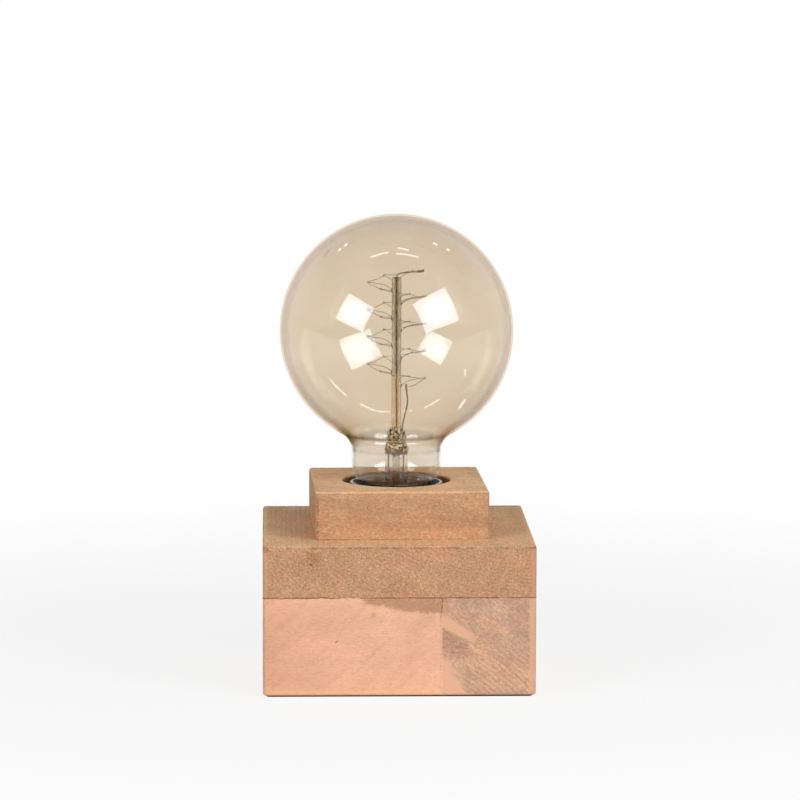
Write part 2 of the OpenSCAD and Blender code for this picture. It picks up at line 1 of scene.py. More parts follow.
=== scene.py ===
"""Looks of a bare bulb table lamp, built round its packed CAD model.

A large clear globe bulb with a light amber lustre screws into a lampholder that is sunk in a
stepped block of solid wood. The file is laid out as an add-on and runs as a script. Lengths are
in metres and heights in the bulb are measured up from the tip of its contact; the groups' lengths
and the cells of the finishes are written in millimetres.
"""

import math

import bmesh
import bpy
from bpy.props import FloatProperty, FloatVectorProperty, IntProperty, PointerProperty
from mathutils import Euler, Matrix, Vector, noise


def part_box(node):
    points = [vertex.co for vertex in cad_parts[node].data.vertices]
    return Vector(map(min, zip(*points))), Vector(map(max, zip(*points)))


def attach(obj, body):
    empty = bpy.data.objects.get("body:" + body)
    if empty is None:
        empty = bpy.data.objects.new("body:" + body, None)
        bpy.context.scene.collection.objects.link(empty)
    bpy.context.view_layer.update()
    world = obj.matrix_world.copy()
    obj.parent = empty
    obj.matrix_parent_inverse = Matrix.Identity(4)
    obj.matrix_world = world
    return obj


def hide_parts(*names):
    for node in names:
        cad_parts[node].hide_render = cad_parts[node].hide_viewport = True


bl_info = {
    "name": "Bare Bulb Table Lamp",
    "version": (1, 0, 0),
    "blender": (4, 5, 0),
    "location": "View3D > Sidebar > Lamp",
    "description": "Builds the looks of a wooden table lamp with a bare globe bulb",
    "category": "Add Mesh",
}

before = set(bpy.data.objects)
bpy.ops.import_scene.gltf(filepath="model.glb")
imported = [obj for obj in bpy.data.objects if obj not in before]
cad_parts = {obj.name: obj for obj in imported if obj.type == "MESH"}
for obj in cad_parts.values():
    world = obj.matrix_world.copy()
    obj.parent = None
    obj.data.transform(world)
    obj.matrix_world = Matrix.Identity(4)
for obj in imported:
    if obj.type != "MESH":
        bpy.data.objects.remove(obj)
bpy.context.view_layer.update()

MM = 0.001
TURN = 2 * math.pi
SAME = 1e-6  # points nearer to each other than this, in metres, are one

# Levels and middles that the packed model gives
globe_low, globe_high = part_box("bulb_glass")
shell_low, shell_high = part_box("holder_shell")
board_low, board_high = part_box("middle_board")
collar_low, collar_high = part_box("collar_block")
AXIS = Vector(((shell_low.x + shell_high.x) / 2, (shell_low.y + shell_high.y) / 2, 0))
TIP_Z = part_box("tip_contact")[0].z
RIM_Z = shell_high.z
SEAM_Z = board_low.z
BOARD_Z = board_high.z
COLLAR_Z = collar_high.z
JOINT_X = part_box("lower_block_left")[1].x
HALF_W = board_high.x
GLOBE_R = (globe_high.x - globe_low.x) / 2
GLOBE_Z = globe_high.z - GLOBE_R - TIP_Z


# ---- Sizes and colours that a user may change -----------------------------------------------


def length(name, description, default):
    """A length, written in millimetres and shown in the scene's own unit."""
    return FloatProperty(
        name=name, description=description, default=default * MM, unit="LENGTH", precision=5)


def angle(name, description, default):
    """An angle, written in degrees."""
    return FloatProperty(
        name=name, description=description, default=math.radians(default), subtype="ANGLE")


def level(name, description, default):
    """A plain number."""
    return FloatProperty(name=name, description=description, default=default)


def tone(name, description, default):
    """A colour in linear light."""
    return FloatVectorProperty(
        name=name, description=description, default=default, subtype="COLOR", size=3, min=0, max=1)


class LampGlass(bpy.types.PropertyGroup):
    """Bulb's glass."""

    wall: length("Wall", "Thickness of the globe's wall", 0.8)
    neck_r: length("Neck radius", "Radius of the neck", 18.25)
    neck_low: length("Neck foot", "Height at which the neck's straight stretch starts", 34.6)
    neck_high: length("Neck top", "Height at which the neck's straight stretch ends", 39.3)
    curve_r: length("Hollow radius", "Radius of the curve between neck and globe", 8)
    inner_curve_r: length("Inner hollow radius", "Radius of that curve inside the thicker glass", 10.5)
    taper_r: length("Taper radius", "Radius of the curve that narrows the neck's foot", 16)
    taper: angle("Taper", "How far the neck's foot leans in before its shoulder", 24)
    shoulder_r: length("Shoulder radius", "Radius of the shoulder at the neck's foot", 2.5)
    foot_slope: angle("Foot slope", "How far the neck's foot falls towards the cap", 16)
    foot_r: length("Foot radius", "Radius at which the glass turns down into the cap", 12.9)
    skirt_r: length("Skirt radius", "Radius of the skirt that is cemented into the cap", 11.6)
    skirt_low: length("Skirt foot", "Height of the skirt's foot", 17.7)
    globe_tint: tone("Globe tint", "Lustre of the globe, for one wall", (0.884, 0.798, 0.690))
    neck_tint: tone("Neck tint", "Lustre of the neck, for one wall", (0.86, 0.80, 0.72))


class LampMount(bpy.types.PropertyGroup):
    """Glass mount inside the bulb, with its two leads."""

    flare_r: length("Flare radius", "Radius of the flare tube", 4.75)
    flare_wall: length("Flare wall", "Wall of the flare tube", 0.9)
    press_low: length("Press foot", "Height at which the press starts", 38.9)
    press_high: length("Press top", "Height of the press's top", 48.3)
    press_w: length("Press width", "Width of the press", 7.9)
    press_t: length("Press thickness", "Thickness of the press at its top", 4)
    exhaust_r: length("Exhaust radius", "Radius of the exhaust tube", 1.6)
    exhaust_wall: length("Exhaust wall", "Wall of the exhaust tube", 0.6)
    exhaust_low: length("Exhaust foot", "Height of its sealed end", 9)
    arbor_r: length("Arbor radius", "Radius of the arbor", 1.9)
    arbor_bore_r: length("Arbor bore", "Radius of the arbor's bore", 0.75)
    arbor_high: length("Arbor top", "Height of the arbor's top", 110)
    lead_r: length("Lead radius", "Radius of the lead wires", 0.325)
    lead_reach: length("Long lead's reach", "How far the long lead reaches out", 8.6)
    short_top: length("Short lead's top", "Height of the short lead's end", 63.8)
    short_x: length("Short lead's place", "Distance of the short lead's end from the middle", 4.1)
    clamp_l: length("Clamp length", "Length of the clamps on the leads", 2.6)
    clamp_r: length("Clamp radius", "Radius of the clamps", 0.55)


class LampFilament(bpy.types.PropertyGroup):
    """Filament and the wires that hold it."""

    cage_r: length("Cage radius", "Radius of the cage that the filament is strung round", 11.6)
    pitch: length("Pitch", "Drop of the filament in one turn", 11.15)
    hooks_per_turn: IntProperty(name="Hooks in a turn", description="Hooks in one turn", default=6, min=3)
    hooks: IntProperty(name="Hooks", description="Number of support wires", default=24, min=3)
    first_angle: angle("First hook", "Direction of the first hook", 55)
    first_z: length("First hook's height", "Height of the first hook", 111.7)
    hook_rise: length("Hook's rise", "How far a hook rises from the arbor to its loop", 3.3)
    hook_r: length("Hook wire", "Radius of the support wires", 0.125)
    loop_r: length("Loop radius", "Radius of the loop at a hook's end", 0.5)
    filament_r: length("Filament radius", "Radius of the filament", 0.1)
    sag: length("Sag", "Sag of the filament between two hooks", 0.5)
    kink: length("Kink", "How far the filament's small kinks stand off its line", 0.5)


class LampThread(bpy.types.PropertyGroup):
    """Bulb's cap and the sleeve that it screws into."""

    lead: length("Lead", "Rise of the thread in one turn", 3.629)
    half: length("Half height", "Half the height of the thread", 0.48)
    fade: length("Run-out", "Length over which the thread fades at its ends", 1.4)
    cap_r: length("Cap radius", "Radius of the cap, halfway up its thread", 12.62)
    cap_t: length("Cap wall", "Thickness of the cap", 0.25)
    cap_low: length("Cap foot", "Height of the cap's foot", 5.2)
    cap_high: length("Cap rim", "Height of the cap's rim", 26.5)
    sleeve_r: length("Sleeve radius", "Inner radius of the sleeve, halfway up its thread", 12.92)
    sleeve_t: length("Sleeve wall", "Thickness of the sleeve", 0.35)


class LampWood(bpy.types.PropertyGroup):
    """Tones of the four pieces of wood."""

    left_stave: tone("Left stave", "Pinkish orange of the left stave", (0.826, 0.474, 0.313))
    right_stave: tone("Right stave", "Pinkish brown of the right stave", (0.548, 0.350, 0.243))
    board: tone("Board", "Tan brown of the middle board", (0.530, 0.304, 0.179))
    collar: tone("Collar", "Pinkish tan of the collar block", (0.542, 0.314, 0.176))
    # Also the brown of the painted shade line down the collar's corner and of the dark line along the
    # board's eased edge
    glue_and_shade: tone("Glue line", "Brown of the glue lines", (0.26, 0.12, 0.065))


class LampStudio(bpy.types.PropertyGroup):
    """Camera and light."""

    camera_place: FloatVectorProperty(
        name="Camera's place", description="Place of the camera", default=(-0.05106, -1.76202, 0.33711),
        unit="LENGTH", precision=5)
    camera_turn: FloatVectorProperty(
        name="Camera's turn", description="Turn of the camera", subtype="EULER",
        default=tuple(map(math.radians, (82.740, -0.119, -1.695))))
    lens: level("Lens", "Focal length in millimetres", 195.98)
    light_level: level("Light level", "Brightness of the two softboxes", 5.5)
    card_level: level("Highlight level", "Brightness of the softboxes' middles as gloss shows them", 12)
    mark_level: level("Mark level", "Brightness of the small lights as gloss shows them", 8)
    ambient: level("Ambient", "Brightness of the room", 0.2)


GROUPS = {
    "lamp_glass": LampGlass,
    "lamp_mount": LampMount,
    "lamp_filament": LampFilament,
    "lamp_thread": LampThread,
    "lamp_wood": LampWood,
    "lamp_studio": LampStudio,
}


# ---- Making pieces ----------------------------------------------------------------------------


def in_bulb(x, y, z):
    """A point given from the bulb's axis and the tip of its contact."""
    return Vector((AXIS.x + x, AXIS.y + y, TIP_Z + z))


def mm(*lengths, up=0.0):
    """Millimetres as metres, counted up from a level."""
    return [up + n * MM for n in lengths]


def from_axis(vert):
    """Height of a point in the bulb, and its way out from the bulb's axis."""
    z = vert.co.z - TIP_Z
    return z, vert.co - in_bulb(0, 0, z)


def add_object(name, data):
    """An object at the origin, in the scene's own collection."""
    made = bpy.data.objects.new(name, data)
    bpy.context.scene.collection.objects.link(made)
    return made


def mesh_of(name, bm):
    """A mesh made from a bmesh, which is freed."""
    mesh = bpy.data.meshes.new(name)
    bm.to_mesh(mesh)
    bm.free()
    return mesh


def add_piece(name, bm, body, finish, slot, *nodes):
    """A smooth piece from a bmesh, which rides on a body and stands for the nodes named."""
    return dress(add_object(name, mesh_of(name, bm)), body, finish, slot, *nodes)


def dress(piece, body, finish, slot, *nodes):
    """Shades a mesh object smoothly, gives it its finish and lets it ride on a body."""
    for face in piece.data.polygons:
        face.use_smooth = True
    piece.data.materials.clear()
    piece.data.materials.append(finish)
    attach(piece, body)
    if nodes:
        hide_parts(*nodes)
    return piece


def tidy(bm):
    """Merges doubles and points every face outwards."""
    bmesh.ops.remove_doubles(bm, verts=bm.verts, dist=SAME)
    bmesh.ops.dissolve_degenerate(bm, edges=bm.edges, dist=SAME)
    bmesh.ops.recalc_face_normals(bm, faces=bm.faces)
    return bm


def turned(outline, steps=96, closed=True, foot=None):
    """A bmesh turned from (radius, height) points round the bulb's axis, or an axis up from a foot."""
    foot = foot or in_bulb(0, 0, 0)
    bm = bmesh.new()
    verts = [bm.verts.new((foot[0] + r, foot[1], foot[2] + z)) for r, z in outline]
    edges = [bm.edges.new(pair) for pair in zip(verts, verts[1:])]
    if closed:
        edges.append(bm.edges.new((verts[-1], verts[0])))
    bmesh.ops.spin(
        bm, geom=verts + edges, cent=foot, axis=(0, 0, 1), dvec=(0, 0, 0), angle=TURN,
        steps=steps, use_merge=True, use_normal_flip=False, use_duplicate=False)
    return tidy(bm)


def arc(centre, radius, start, end, steps):
    """Points of an arc, in degrees anticlockwise from the right."""
    angles = [math.radians(start + (end - start) * i / steps) for i in range(steps + 1)]
    return [(centre[0] + radius * math.cos(a), centre[1] + radius * math.sin(a)) for a in angles]


def line(start, end, steps):
    """Evenly spaced points from start to end, without the end."""
    return [
        (start[0] + (end[0] - start[0]) * i / steps, start[1] + (end[1] - start[1]) * i / steps)
        for i in range(steps)
    ]


def through(corners, *steps):
    """Points from corner to corner, with that many steps between each two."""
    stretches = zip(corners, corners[1:], steps)
    return [point for start, end, count in stretches for point in line(start, end, count)] + [corners[-1]]


def wires(name, routes, radius, sides, steps):
    """A mesh of round wires that run smoothly through the points of their routes, given in the bulb."""
    curve = bpy.data.curves.new(name, "CURVE")
    curve.dimensions = "3D"
    curve.bevel_depth = radius
    curve.bevel_resolution = (sides - 4) // 2
    curve.resolution_u = steps
    curve.use_fill_caps = True
    for route in routes:
        spline = curve.splines.new("BEZIER")
        spline.bezier_points.add(len(route) - 1)
        for point, place in zip(spline.bezier_points, route):
            point.co = in_bulb(*place)
            point.handle_left_type = point.handle_right_type = "AUTO"
    holder = add_object(name, curve)
    bpy.context.view_layer.update()
    mesh = bpy.data.meshes.new_from_object(holder)
    bpy.data.objects.remove(holder)
    bpy.data.curves.remove(curve)
    return add_object(name, mesh)


# ---- Making finishes ----------------------------------------------------------------------------


class Nodes:
    """A node tree; its methods add nodes and give back their outputs."""

    def __init__(self, tree):
        self.tree = tree
        tree.nodes.clear()

    def node(self, kind, inputs=None, **settings):
        """A node with its settings made and its inputs filled or linked."""
        made = self.tree.nodes.new(kind)
        for key, value in settings.items():
            setattr(made, key, value)
        for key, value in (inputs or {}).items():
            if isinstance(value, bpy.types.NodeSocket):
                self.tree.links.new(value, made.inputs[key])
            else:
                made.inputs[key].default_value = value
        return made

    def out(self, kind, inputs=None, at=0, **settings):
        """One output of a new node."""
        return self.node(kind, inputs, **settings).outputs[at]

    def path(self, name):
        """What is known of the ray that meets the surface."""
        return self.out("ShaderNodeLightPath", at=name)

    def mirrored(self):
        """1 for what gloss or glass shows."""
        return self.calc("MAXIMUM", self.path("Is Glossy Ray"), self.path("Is Transmission Ray"))

    def axes(self, vector):
        """The three parts of a vector."""
        return self.node("ShaderNodeSeparateXYZ", {0: vector}).outputs

    def length(self, vector):
        """Length of a vector."""
        return self.out("ShaderNodeVectorMath", {0: vector}, at="Value", operation="LENGTH")

    def calc(self, operation, a, b=0.0, c=0.0):
        """A sum."""
        return self.out("ShaderNodeMath", {0: a, 1: b, 2: c}, operation=operation)

    def plus(self, a, b):
        """One value added to another."""
        return self.calc("ADD", a, b)

    def less(self, a, b):
        """One value taken from another."""
        return self.calc("SUBTRACT", a, b)

    def gap(self, a, b):
        """Distance between two values."""
        return self.calc("ABSOLUTE", self.less(a, b))

    def both(self, *masks):
        """Product of masks and shares."""
        made, *others = masks or (1.0,)
        for mask in others:
            made = self.calc("MULTIPLY", made, mask)
        return made

    def step(self, value, low, high, start=0.0, end=1.0):
        """A smooth step of a value from low to high, which may be the lesser."""
        return self.out(
            "ShaderNodeMapRange",
            {"Value": value, "From Min": low, "From Max": high, "To Min": start, "To Max": end},
            interpolation_type="SMOOTHSTEP")

    def band(self, value, low, rise, fall, high):
        """1 between rise and fall, fading to 0 at low and high."""
        return self.both(self.step(value, low, rise), self.step(value, high, fall))

    def mix(self, factor, a, b):
        """A mix of two plain values."""
        return self.out("ShaderNodeMix", {0: factor, 2: a, 3: b}, data_type="FLOAT")

    def glow(self, colour, strength):
        """A light of its own."""
        return self.out("ShaderNodeEmission", {"Color": rgba(colour), "Strength": strength})

    def clear(self, tint):
        """Lets light straight through, in a tint."""
        return self.out("ShaderNodeBsdfTransparent", {"Color": rgba(tint)})

    def mix_shader(self, factor, a, b):
        """A mix of two shaders."""
        return self.out("ShaderNodeMixShader", {0: factor, 1: a, 2: b})


class Finish(Nodes):
    """A node material."""

    def __init__(self, name):
        self.material = bpy.data.materials.new(name)
        self.material.use_nodes = True
        super().__init__(self.material.node_tree)
        self.place = self.out("ShaderNodeTexCoord", at="Object")
        self.x, self.y, self.z = self.axes(self.place)

    def cells(self, size, turn=0.0, at=(0, 0, 0)):
        """Object coordinates counted in cells of that size; lengths are in millimetres here."""
        sizes = (size,) * 3 if isinstance(size, (int, float)) else size
        return self.out(
            "ShaderNodeMapping",
            {"Vector": self.place, "Location": mm(*at), "Rotation": (0, math.radians(turn), 0),
             "Scale": mm(*sizes)},
            vector_type="TEXTURE")

    def noise(self, size, turn=0.0, at=(0, 0, 0), detail=2.0, rough=0.5, distort=0.0):
        """Cloudy noise from 0 to 1, in cells of that size, turned about the depth and shifted."""
        return self.out(
            "ShaderNodeTexNoise",
            {"Vector": self.cells(size, turn, at), "Scale": 1.0, "Detail": detail, "Roughness": rough,
             "Distortion": distort})

    def specks(self, size, share, turn=0.0, at=(0, 0, 0)):
        """1 on scattered specks, of which a larger share leaves fewer."""
        return self.step(self.noise(size, turn, at, detail=1, rough=0.4), share, share + 0.07)

    def dust(self):
        """1 on fine dust."""
        return self.step(self.noise(0.5, 0, (100, 200, 300), detail=1), 0.64, 0.72)

    def veins(self, size, thin, turn=0.0, at=(0, 0, 0)):
        """1 on thin wandering lines, which a larger value of thin makes wider."""
        off = self.gap(self.noise(size, turn, at, detail=1.5, rough=0.55), 0.5)
        return self.step(off, thin, thin * 0.3)

    def waver(self, size, depth, detail=2):
        """Small wander of a line, in metres, to both of its sides."""
        return self.both(self.less(self.noise(size, detail=detail), 0.5), depth)

    def oval(self, x, z, wide, high, turn=0.0):
        """Distance from the middle of an oval on the front face, 1 at its rim."""
        flat = self.cells((wide, 1e6, high), turn, (x, 0, z))
        return self.length(flat)

    def spot(self, oval, inner, outer, share):
        """Share inside an oval on the front face, fading out from inner to outer."""
        return self.both(self.step(self.oval(*oval), outer, inner), share, self.on_front())

    def on_front(self):
        """1 near the front face of the base, fading into the wood."""
        return self.step(self.y, *mm(7, 2, up=-HALF_W))

    def reach(self):
        """Distance from the lampholder's axis."""
        x, y = self.less(self.x, AXIS.x), self.less(self.y, AXIS.y)
        return self.calc("SQRT", self.calc("MULTIPLY_ADD", x, x, self.both(y, y)))

    def blend(self, factor, a, b, mode="MIX"):
        """A mix of two colours."""
        return self.out(
            "ShaderNodeMix", {0: factor, 6: rgba(a), 7: rgba(b)}, at=2, data_type="RGBA", blend_type=mode)

    def shade(self, colour, by, *masks):
        """Multiplies a colour by another where the product of the masks is 1."""
        return self.blend(self.both(*masks), colour, by, "MULTIPLY")

    def paint(self, colour, over, *masks):
        """Covers a colour with another where the product of the masks is 1."""
        return self.blend(self.both(*masks), colour, over)

    def shades(self, colour, *rows):
        """Multiplies a colour by one tone after another, each under its own masks."""
        for row in rows:
            colour = self.shade(colour, *row)
        return colour

    def bump(self, height, distance, strength):
        """A normal from a height."""
        return self.out("ShaderNodeBump", {"Height": height, "Distance": distance, "Strength": strength})

    def surface(self, **inputs):
        """The Principled shader, by its inputs' names with spaces as underscores."""
        named = {key.replace("_", " "): value for key, value in inputs.items()}
        return self.out("ShaderNodeBsdfPrincipled", named)

    def done(self, shader):
        """Links the shader to the output and gives back the material."""
        self.node("ShaderNodeOutputMaterial", {"Surface": shader})
        return self.material

    def solid(self, body, height, distance, strength, **inputs):
        """The finish of something that light doesn't pass, from its colour and the height of its grain."""
        normal = self.bump(height, distance, strength)
        return self.done(self.surface(Base_Color=body, Normal=normal, **inputs))


def rgba(colour, factor=1.0):
    """A colour with its alpha, made lighter or darker by a factor; a node's output stays as it is."""
    if isinstance(colour, bpy.types.NodeSocket):
        return colour
    return (*(c * factor for c in tuple(colour)[:3]), 1.0)


def set_finish(material, *nodes):
    """Gives CAD nodes a finish without touching their meshes."""
    for name in nodes:
        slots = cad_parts[name].material_slots
        if not slots:
            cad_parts[name].data.materials.append(material)
        for slot in slots:
            slot.material = material


# ---- Wood ---------------------------------------------------------------------------------------


def plain_wood(f, tone_rgb, turn, mottle, fleck, dark, light):
    """Patches of tone under a fine speckle of fibres, cut from dark to light."""
    patches = f.noise(mottle, turn, detail=3, rough=0.55)
    flecks = f.noise(fleck, turn, detail=4, rough=0.7)
    body = f.blend(f.step(patches, 0.32, 0.68), rgba(tone_rgb, 0.94), rgba(tone_rgb, 1.06))
    return f.shade(body, f.blend(f.step(flecks, 0.33, 0.67), dark, light)), flecks


def glue_line(f, body, glue_and_shade, height, width=0.36 * MM, share=0.42):
    """Darkens a thin broken line at a height."""
    breaks = f.noise(4.5, 0, (10, 20, 30), detail=4, rough=0.7)
    off = f.calc("ABSOLUTE", f.plus(f.less(f.z, height), f.waver(2.2, 0.9 * MM)))
    return f.paint(body, glue_and_shade, f.step(off, width, width * 0.35), f.step(breaks, share - 0.12, share + 0.1))


def joint_line(f, body, glue_and_shade):
    """Dark dotted line of the joint between the staves, strongest at its top."""
    high = f.step(f.z, *mm(-11, -4, up=SEAM_Z), 0.15, 1.0)
    lean = f.both(f.step(f.z, SEAM_Z, SEAM_Z - 9 * MM), 0.7 * MM)
    off = f.gap(f.plus(f.x, lean), JOINT_X + 0.1 * MM)
    dots = f.step(f.noise((1.1, 1.1, 0.9), 0, (4, 4, 4)), 0.42, 0.52)
    return f.paint(body, rgba(glue_and_shade, 1.1), f.step(off, 0.42 * MM, 0.12 * MM), dots, high)


def wood_surface(f, body, flecks, pores):
    """Sanded bare wood, its fibres and pores slightly raised."""
    height = f.less(f.both(flecks, 0.6), f.both(pores, 0.5))
    rough = f.step(flecks, 0.3, 0.7, 0.72, 0.58)
    return f.solid(body, height, 0.09 * MM, 0.5, Roughness=rough, IOR=1.45, Specular_IOR_Level=0.12)


def rings(f, x, z, pitch, wander):
    """Growth rings round a far middle in the front's plane, as a wave from 0 to 1."""
    phase = f.plus(f.both(f.oval(x, z, pitch, pitch), TURN), f.both(f.noise(14), wander))
    return f.calc("MULTIPLY_ADD", f.calc("SINE", phase), 0.5, 0.5)


def left_stave_wood(tones):
    """Pale pinkish wood with faint slanting bands and a darker wedge under the seam."""
    f = Finish("wood_pale")
    body, flecks = plain_wood(
        f, tones.left_stave, 2, (30, 14, 12), (2.6, 0.8, 0.7), (0.955, 0.93, 0.91), (1.03, 1.045, 1.06))
    slant = f.noise((20, 16, 3.4), -44, (30, 0, 10), detail=3)
    flat = f.noise((11, 9, 1.5), -4, (8, 0, 3), detail=3)
    body = f.shades(
        body,
        ((0.935, 0.885, 0.875), f.step(f.x, -0.020, -0.056), 0.9),
        ((0.93, 0.905, 0.885), f.step(slant, 0.46, 0.68), 0.75),
        ((0.945, 0.925, 0.90), f.step(flat, 0.5, 0.66), 0.5),
        ((1.05, 1.075, 1.08), f.veins((4.5, 2, 0.9), 0.03, -12, (5, 5, 5)), 0.6),
        ((0.92, 0.88, 0.86), f.veins((5, 2, 1.1), 0.022, 6, (25, 15, 5)), 0.6))
    body = f.paint(body, (0.90, 0.51, 0.29), f.step(f.z, 0.0042, 0.0012), 0.75)
    below = f.plus(f.less(SEAM_Z, f.z), f.waver(2.6, 3.4 * MM, 3))
    below = f.less(below, f.step(f.x, -0.016, 0.012, 3.0 * MM, 6.4 * MM))
    wedge = f.both(f.step(below, 0.6 * MM, -1.3 * MM), f.step(f.x, -0.0165, -0.0115), f.on_front())
    body = f.shades(
        body,
        ((0.62, 0.565, 0.52), wedge),
        ((1.16, 1.2, 1.22), wedge, f.veins((1.6, 1.2, 0.8), 0.05, 20, (3, 3, 3)), 0.8))
    body = f.paint(body, (0.30, 0.13, 0.08), f.spot((-25.1, 22.5, 1.0, 0.34, -35), 0.4, 1.2, 0.75))
    pores = f.specks((1.3, 0.6, 0.5), 0.66, 10)
    body = f.shades(
        body,
        ((0.72, 0.66, 0.6), f.spot((-10.6, 33.2, 1.7, 1.2, -50), 0.2, 1.2, 0.5)),
        ((0.80, 0.70, 0.64), pores, 0.7),
        ((1.06, 1.12, 1.13), f.specks((0.9, 0.6, 0.5), 0.64, -20, (50, 10, 0)), 0.8))
    body = glue_line(f, body, tones.glue_and_shade, SEAM_Z)
    return wood_surface(f, joint_line(f, body, tones.glue_and_shade), flecks, pores)


def right_stave_wood(tones):
    """Pinkish brown wood with speckled grain and growth rings that fall to the right."""
    f = Finish("wood_pink")
    body, flecks = plain_wood(
        f, tones.right_stave, 38, (12, 12, 8), (1.5, 0.9, 0.75), (0.86, 0.83, 0.80), (1.12, 1.13, 1.12))
    light = f.veins((1.7, 1.4, 1.3), 0.05, 40, (33, 11, 22))
    dark = f.veins((1.8, 1.4, 1.2), 0.05, 30, (71, 41, 92))
    low = f.step(f.plus(f.z, f.both(f.x, -0.5)), 0.006, -0.006)
    glow = f.noise((26, 30, 5), 33, (0, 0, 4))
    rosy = f.noise((7, 9, 5), 20, (12, 3, 4))
    crest = f.gap(f.oval(-12, -54, 84.6, 84.6), 1.0)
    body = f.shades(
        body,
        ((1.14, 1.17, 1.16), light, 0.75),
        ((0.84, 0.79, 0.75), dark, 0.75),
        ((0.885, 0.845, 0.80), f.step(rings(f, -12, -54, 1.75, 3.0), 0.45, 0.95), low, 0.85),
        ((1.13, 1.10, 1.05), f.step(glow, 0.50, 0.66), 0.7),
        ((1.06, 0.97, 0.985), f.step(rosy, 0.48, 0.64)),
        ((1.15, 1.15, 1.15), f.step(f.z, 0.026, 0.006)),
        ((1.16, 1.14, 1.08), f.step(crest, 0.014, 0.004), 0.8, f.step(f.x, 0.024, 0.030)))
    pale = f.spot((20.6, 28.6, 12.0, 2.6, 30), 0.6, 1.15, 0.9)
    body = f.paint(body, rgba(tones.left_stave, 0.95), pale)
    streaks = f.step(f.noise((5, 4, 0.9), 4, (3, 0, 9)), 0.40, 0.58, 0.35, 1.0)
    body = f.shade(body, (0.77, 0.735, 0.70), f.spot((20.6, 21.6, 10.5, 4.6, 30), 0.6, 1.1, 0.9), streaks)
    ragged = f.both(f.noise((5, 5, 2.2), 20, detail=3), 0.010)
    join = f.step(f.plus(f.plus(f.x, f.both(f.z, 0.55)), ragged), 0.0345, 0.0305)
    join = f.both(join, 0.9, f.step(f.z, 0.0170, 0.0145), f.on_front())
    body = f.paint(body, rgba(tones.left_stave, 0.97), join)
    strip = f.step(f.plus(f.x, f.both(ragged, 0.2)), *mm(-2.6, -0.9, up=HALF_W))
    body = f.paint(body, (0.735, 0.44, 0.275), strip, 0.75)
    body = glue_line(f, body, tones.glue_and_shade, SEAM_Z)
    return wood_surface(f, joint_line(f, body, tones.glue_and_shade), flecks, dark)


def board_wood(tones):
    """Tan wood with curly slanting grain, a reddish knot, a dark line along its eased edge and a top
    lightened by painted light.
    """
    f = Finish("wood_tan")
    body, flecks = plain_wood(
        f, tones.board, 30, (18, 16, 9), (1.05, 0.8, 0.7), (0.84, 0.80, 0.765), (1.14, 1.155, 1.15))
    dark = f.veins((1.5, 1.4, 1.3), 0.07, -20, (90, 10, 40))
    curls = [
        (f.veins((9, 3, 1.8), 0.02, turn, at), f.step(f.noise(7, 0, at), 0.45, 0.6))
        for turn, at in ((43, (0, 0, 0)), (-38, (40, 0, 9)))]
    body = f.shades(
        body,
        ((0.87, 0.84, 0.79), f.step(rings(f, 55, 154, 1.5, 1.2), 0.45, 0.95), 0.45),
        ((0.95, 0.985, 0.92), f.step(f.noise((9, 20, 6), 10, (50, 20, 10)), 0.47, 0.64)),
        ((1.06, 0.975, 0.985), f.step(f.noise((11, 20, 7), -10, (10, 60, 80)), 0.50, 0.64)),
        ((1.20, 1.23, 1.22), f.veins((1.5, 1.2, 1.0), 0.075, 42, (20, 50, 30)), 0.8),
        ((0.80, 0.74, 0.69), dark, 0.8),
        *(((1.14, 1.16, 1.15), *masks) for masks in curls),
        ((0.80, 0.68, 0.60), f.spot((-34.0, 56.3, 4.6, 3.3, 12), 0.2, 1.15, 0.75)))
    knot = f.spot((-35.3, 53.5, 0.75, 0.6), 0.4, 1.2, 0.85)
    blot = f.spot((-53.6, 59.6, 1.5, 1.6), 0.5, 1.15, 0.9)
    body = f.paint(body, (0.25, 0.075, 0.03), f.calc("MAXIMUM", knot, blot))
    body = f.paint(body, (0.66, 0.40, 0.19), f.step(f.x, *mm(2.4, 0.9, up=-HALF_W)), 0.6)
    body = f.paint(body, (0.62, 0.315, 0.175), f.step(f.x, *mm(-3.2, -1.4, up=HALF_W)), 0.7)
    # Painted light: the board's top face is made lighter and paler, standing in for light that falls on it
    # from above
    body = f.shade(body, (1.48, 1.62, 1.61), f.step(f.z, *mm(-0.5, -0.05, up=BOARD_Z)))
    body = glue_line(f, body, tones.glue_and_shade, SEAM_Z)
    # A darker broken line along the top's eased edge
    edge = f.band(f.z, *mm(-1.5, -0.7, -0.4, -0.05, up=BOARD_Z))
    edge_breaks = f.step(f.noise(6, 0, (400, 400, 400), detail=5, rough=0.8), 0.47, 0.58)
    body = f.paint(body, rgba(tones.glue_and_shade, 1.15), edge, edge_breaks, 0.8)
    return wood_surface(f, body, flecks, dark)


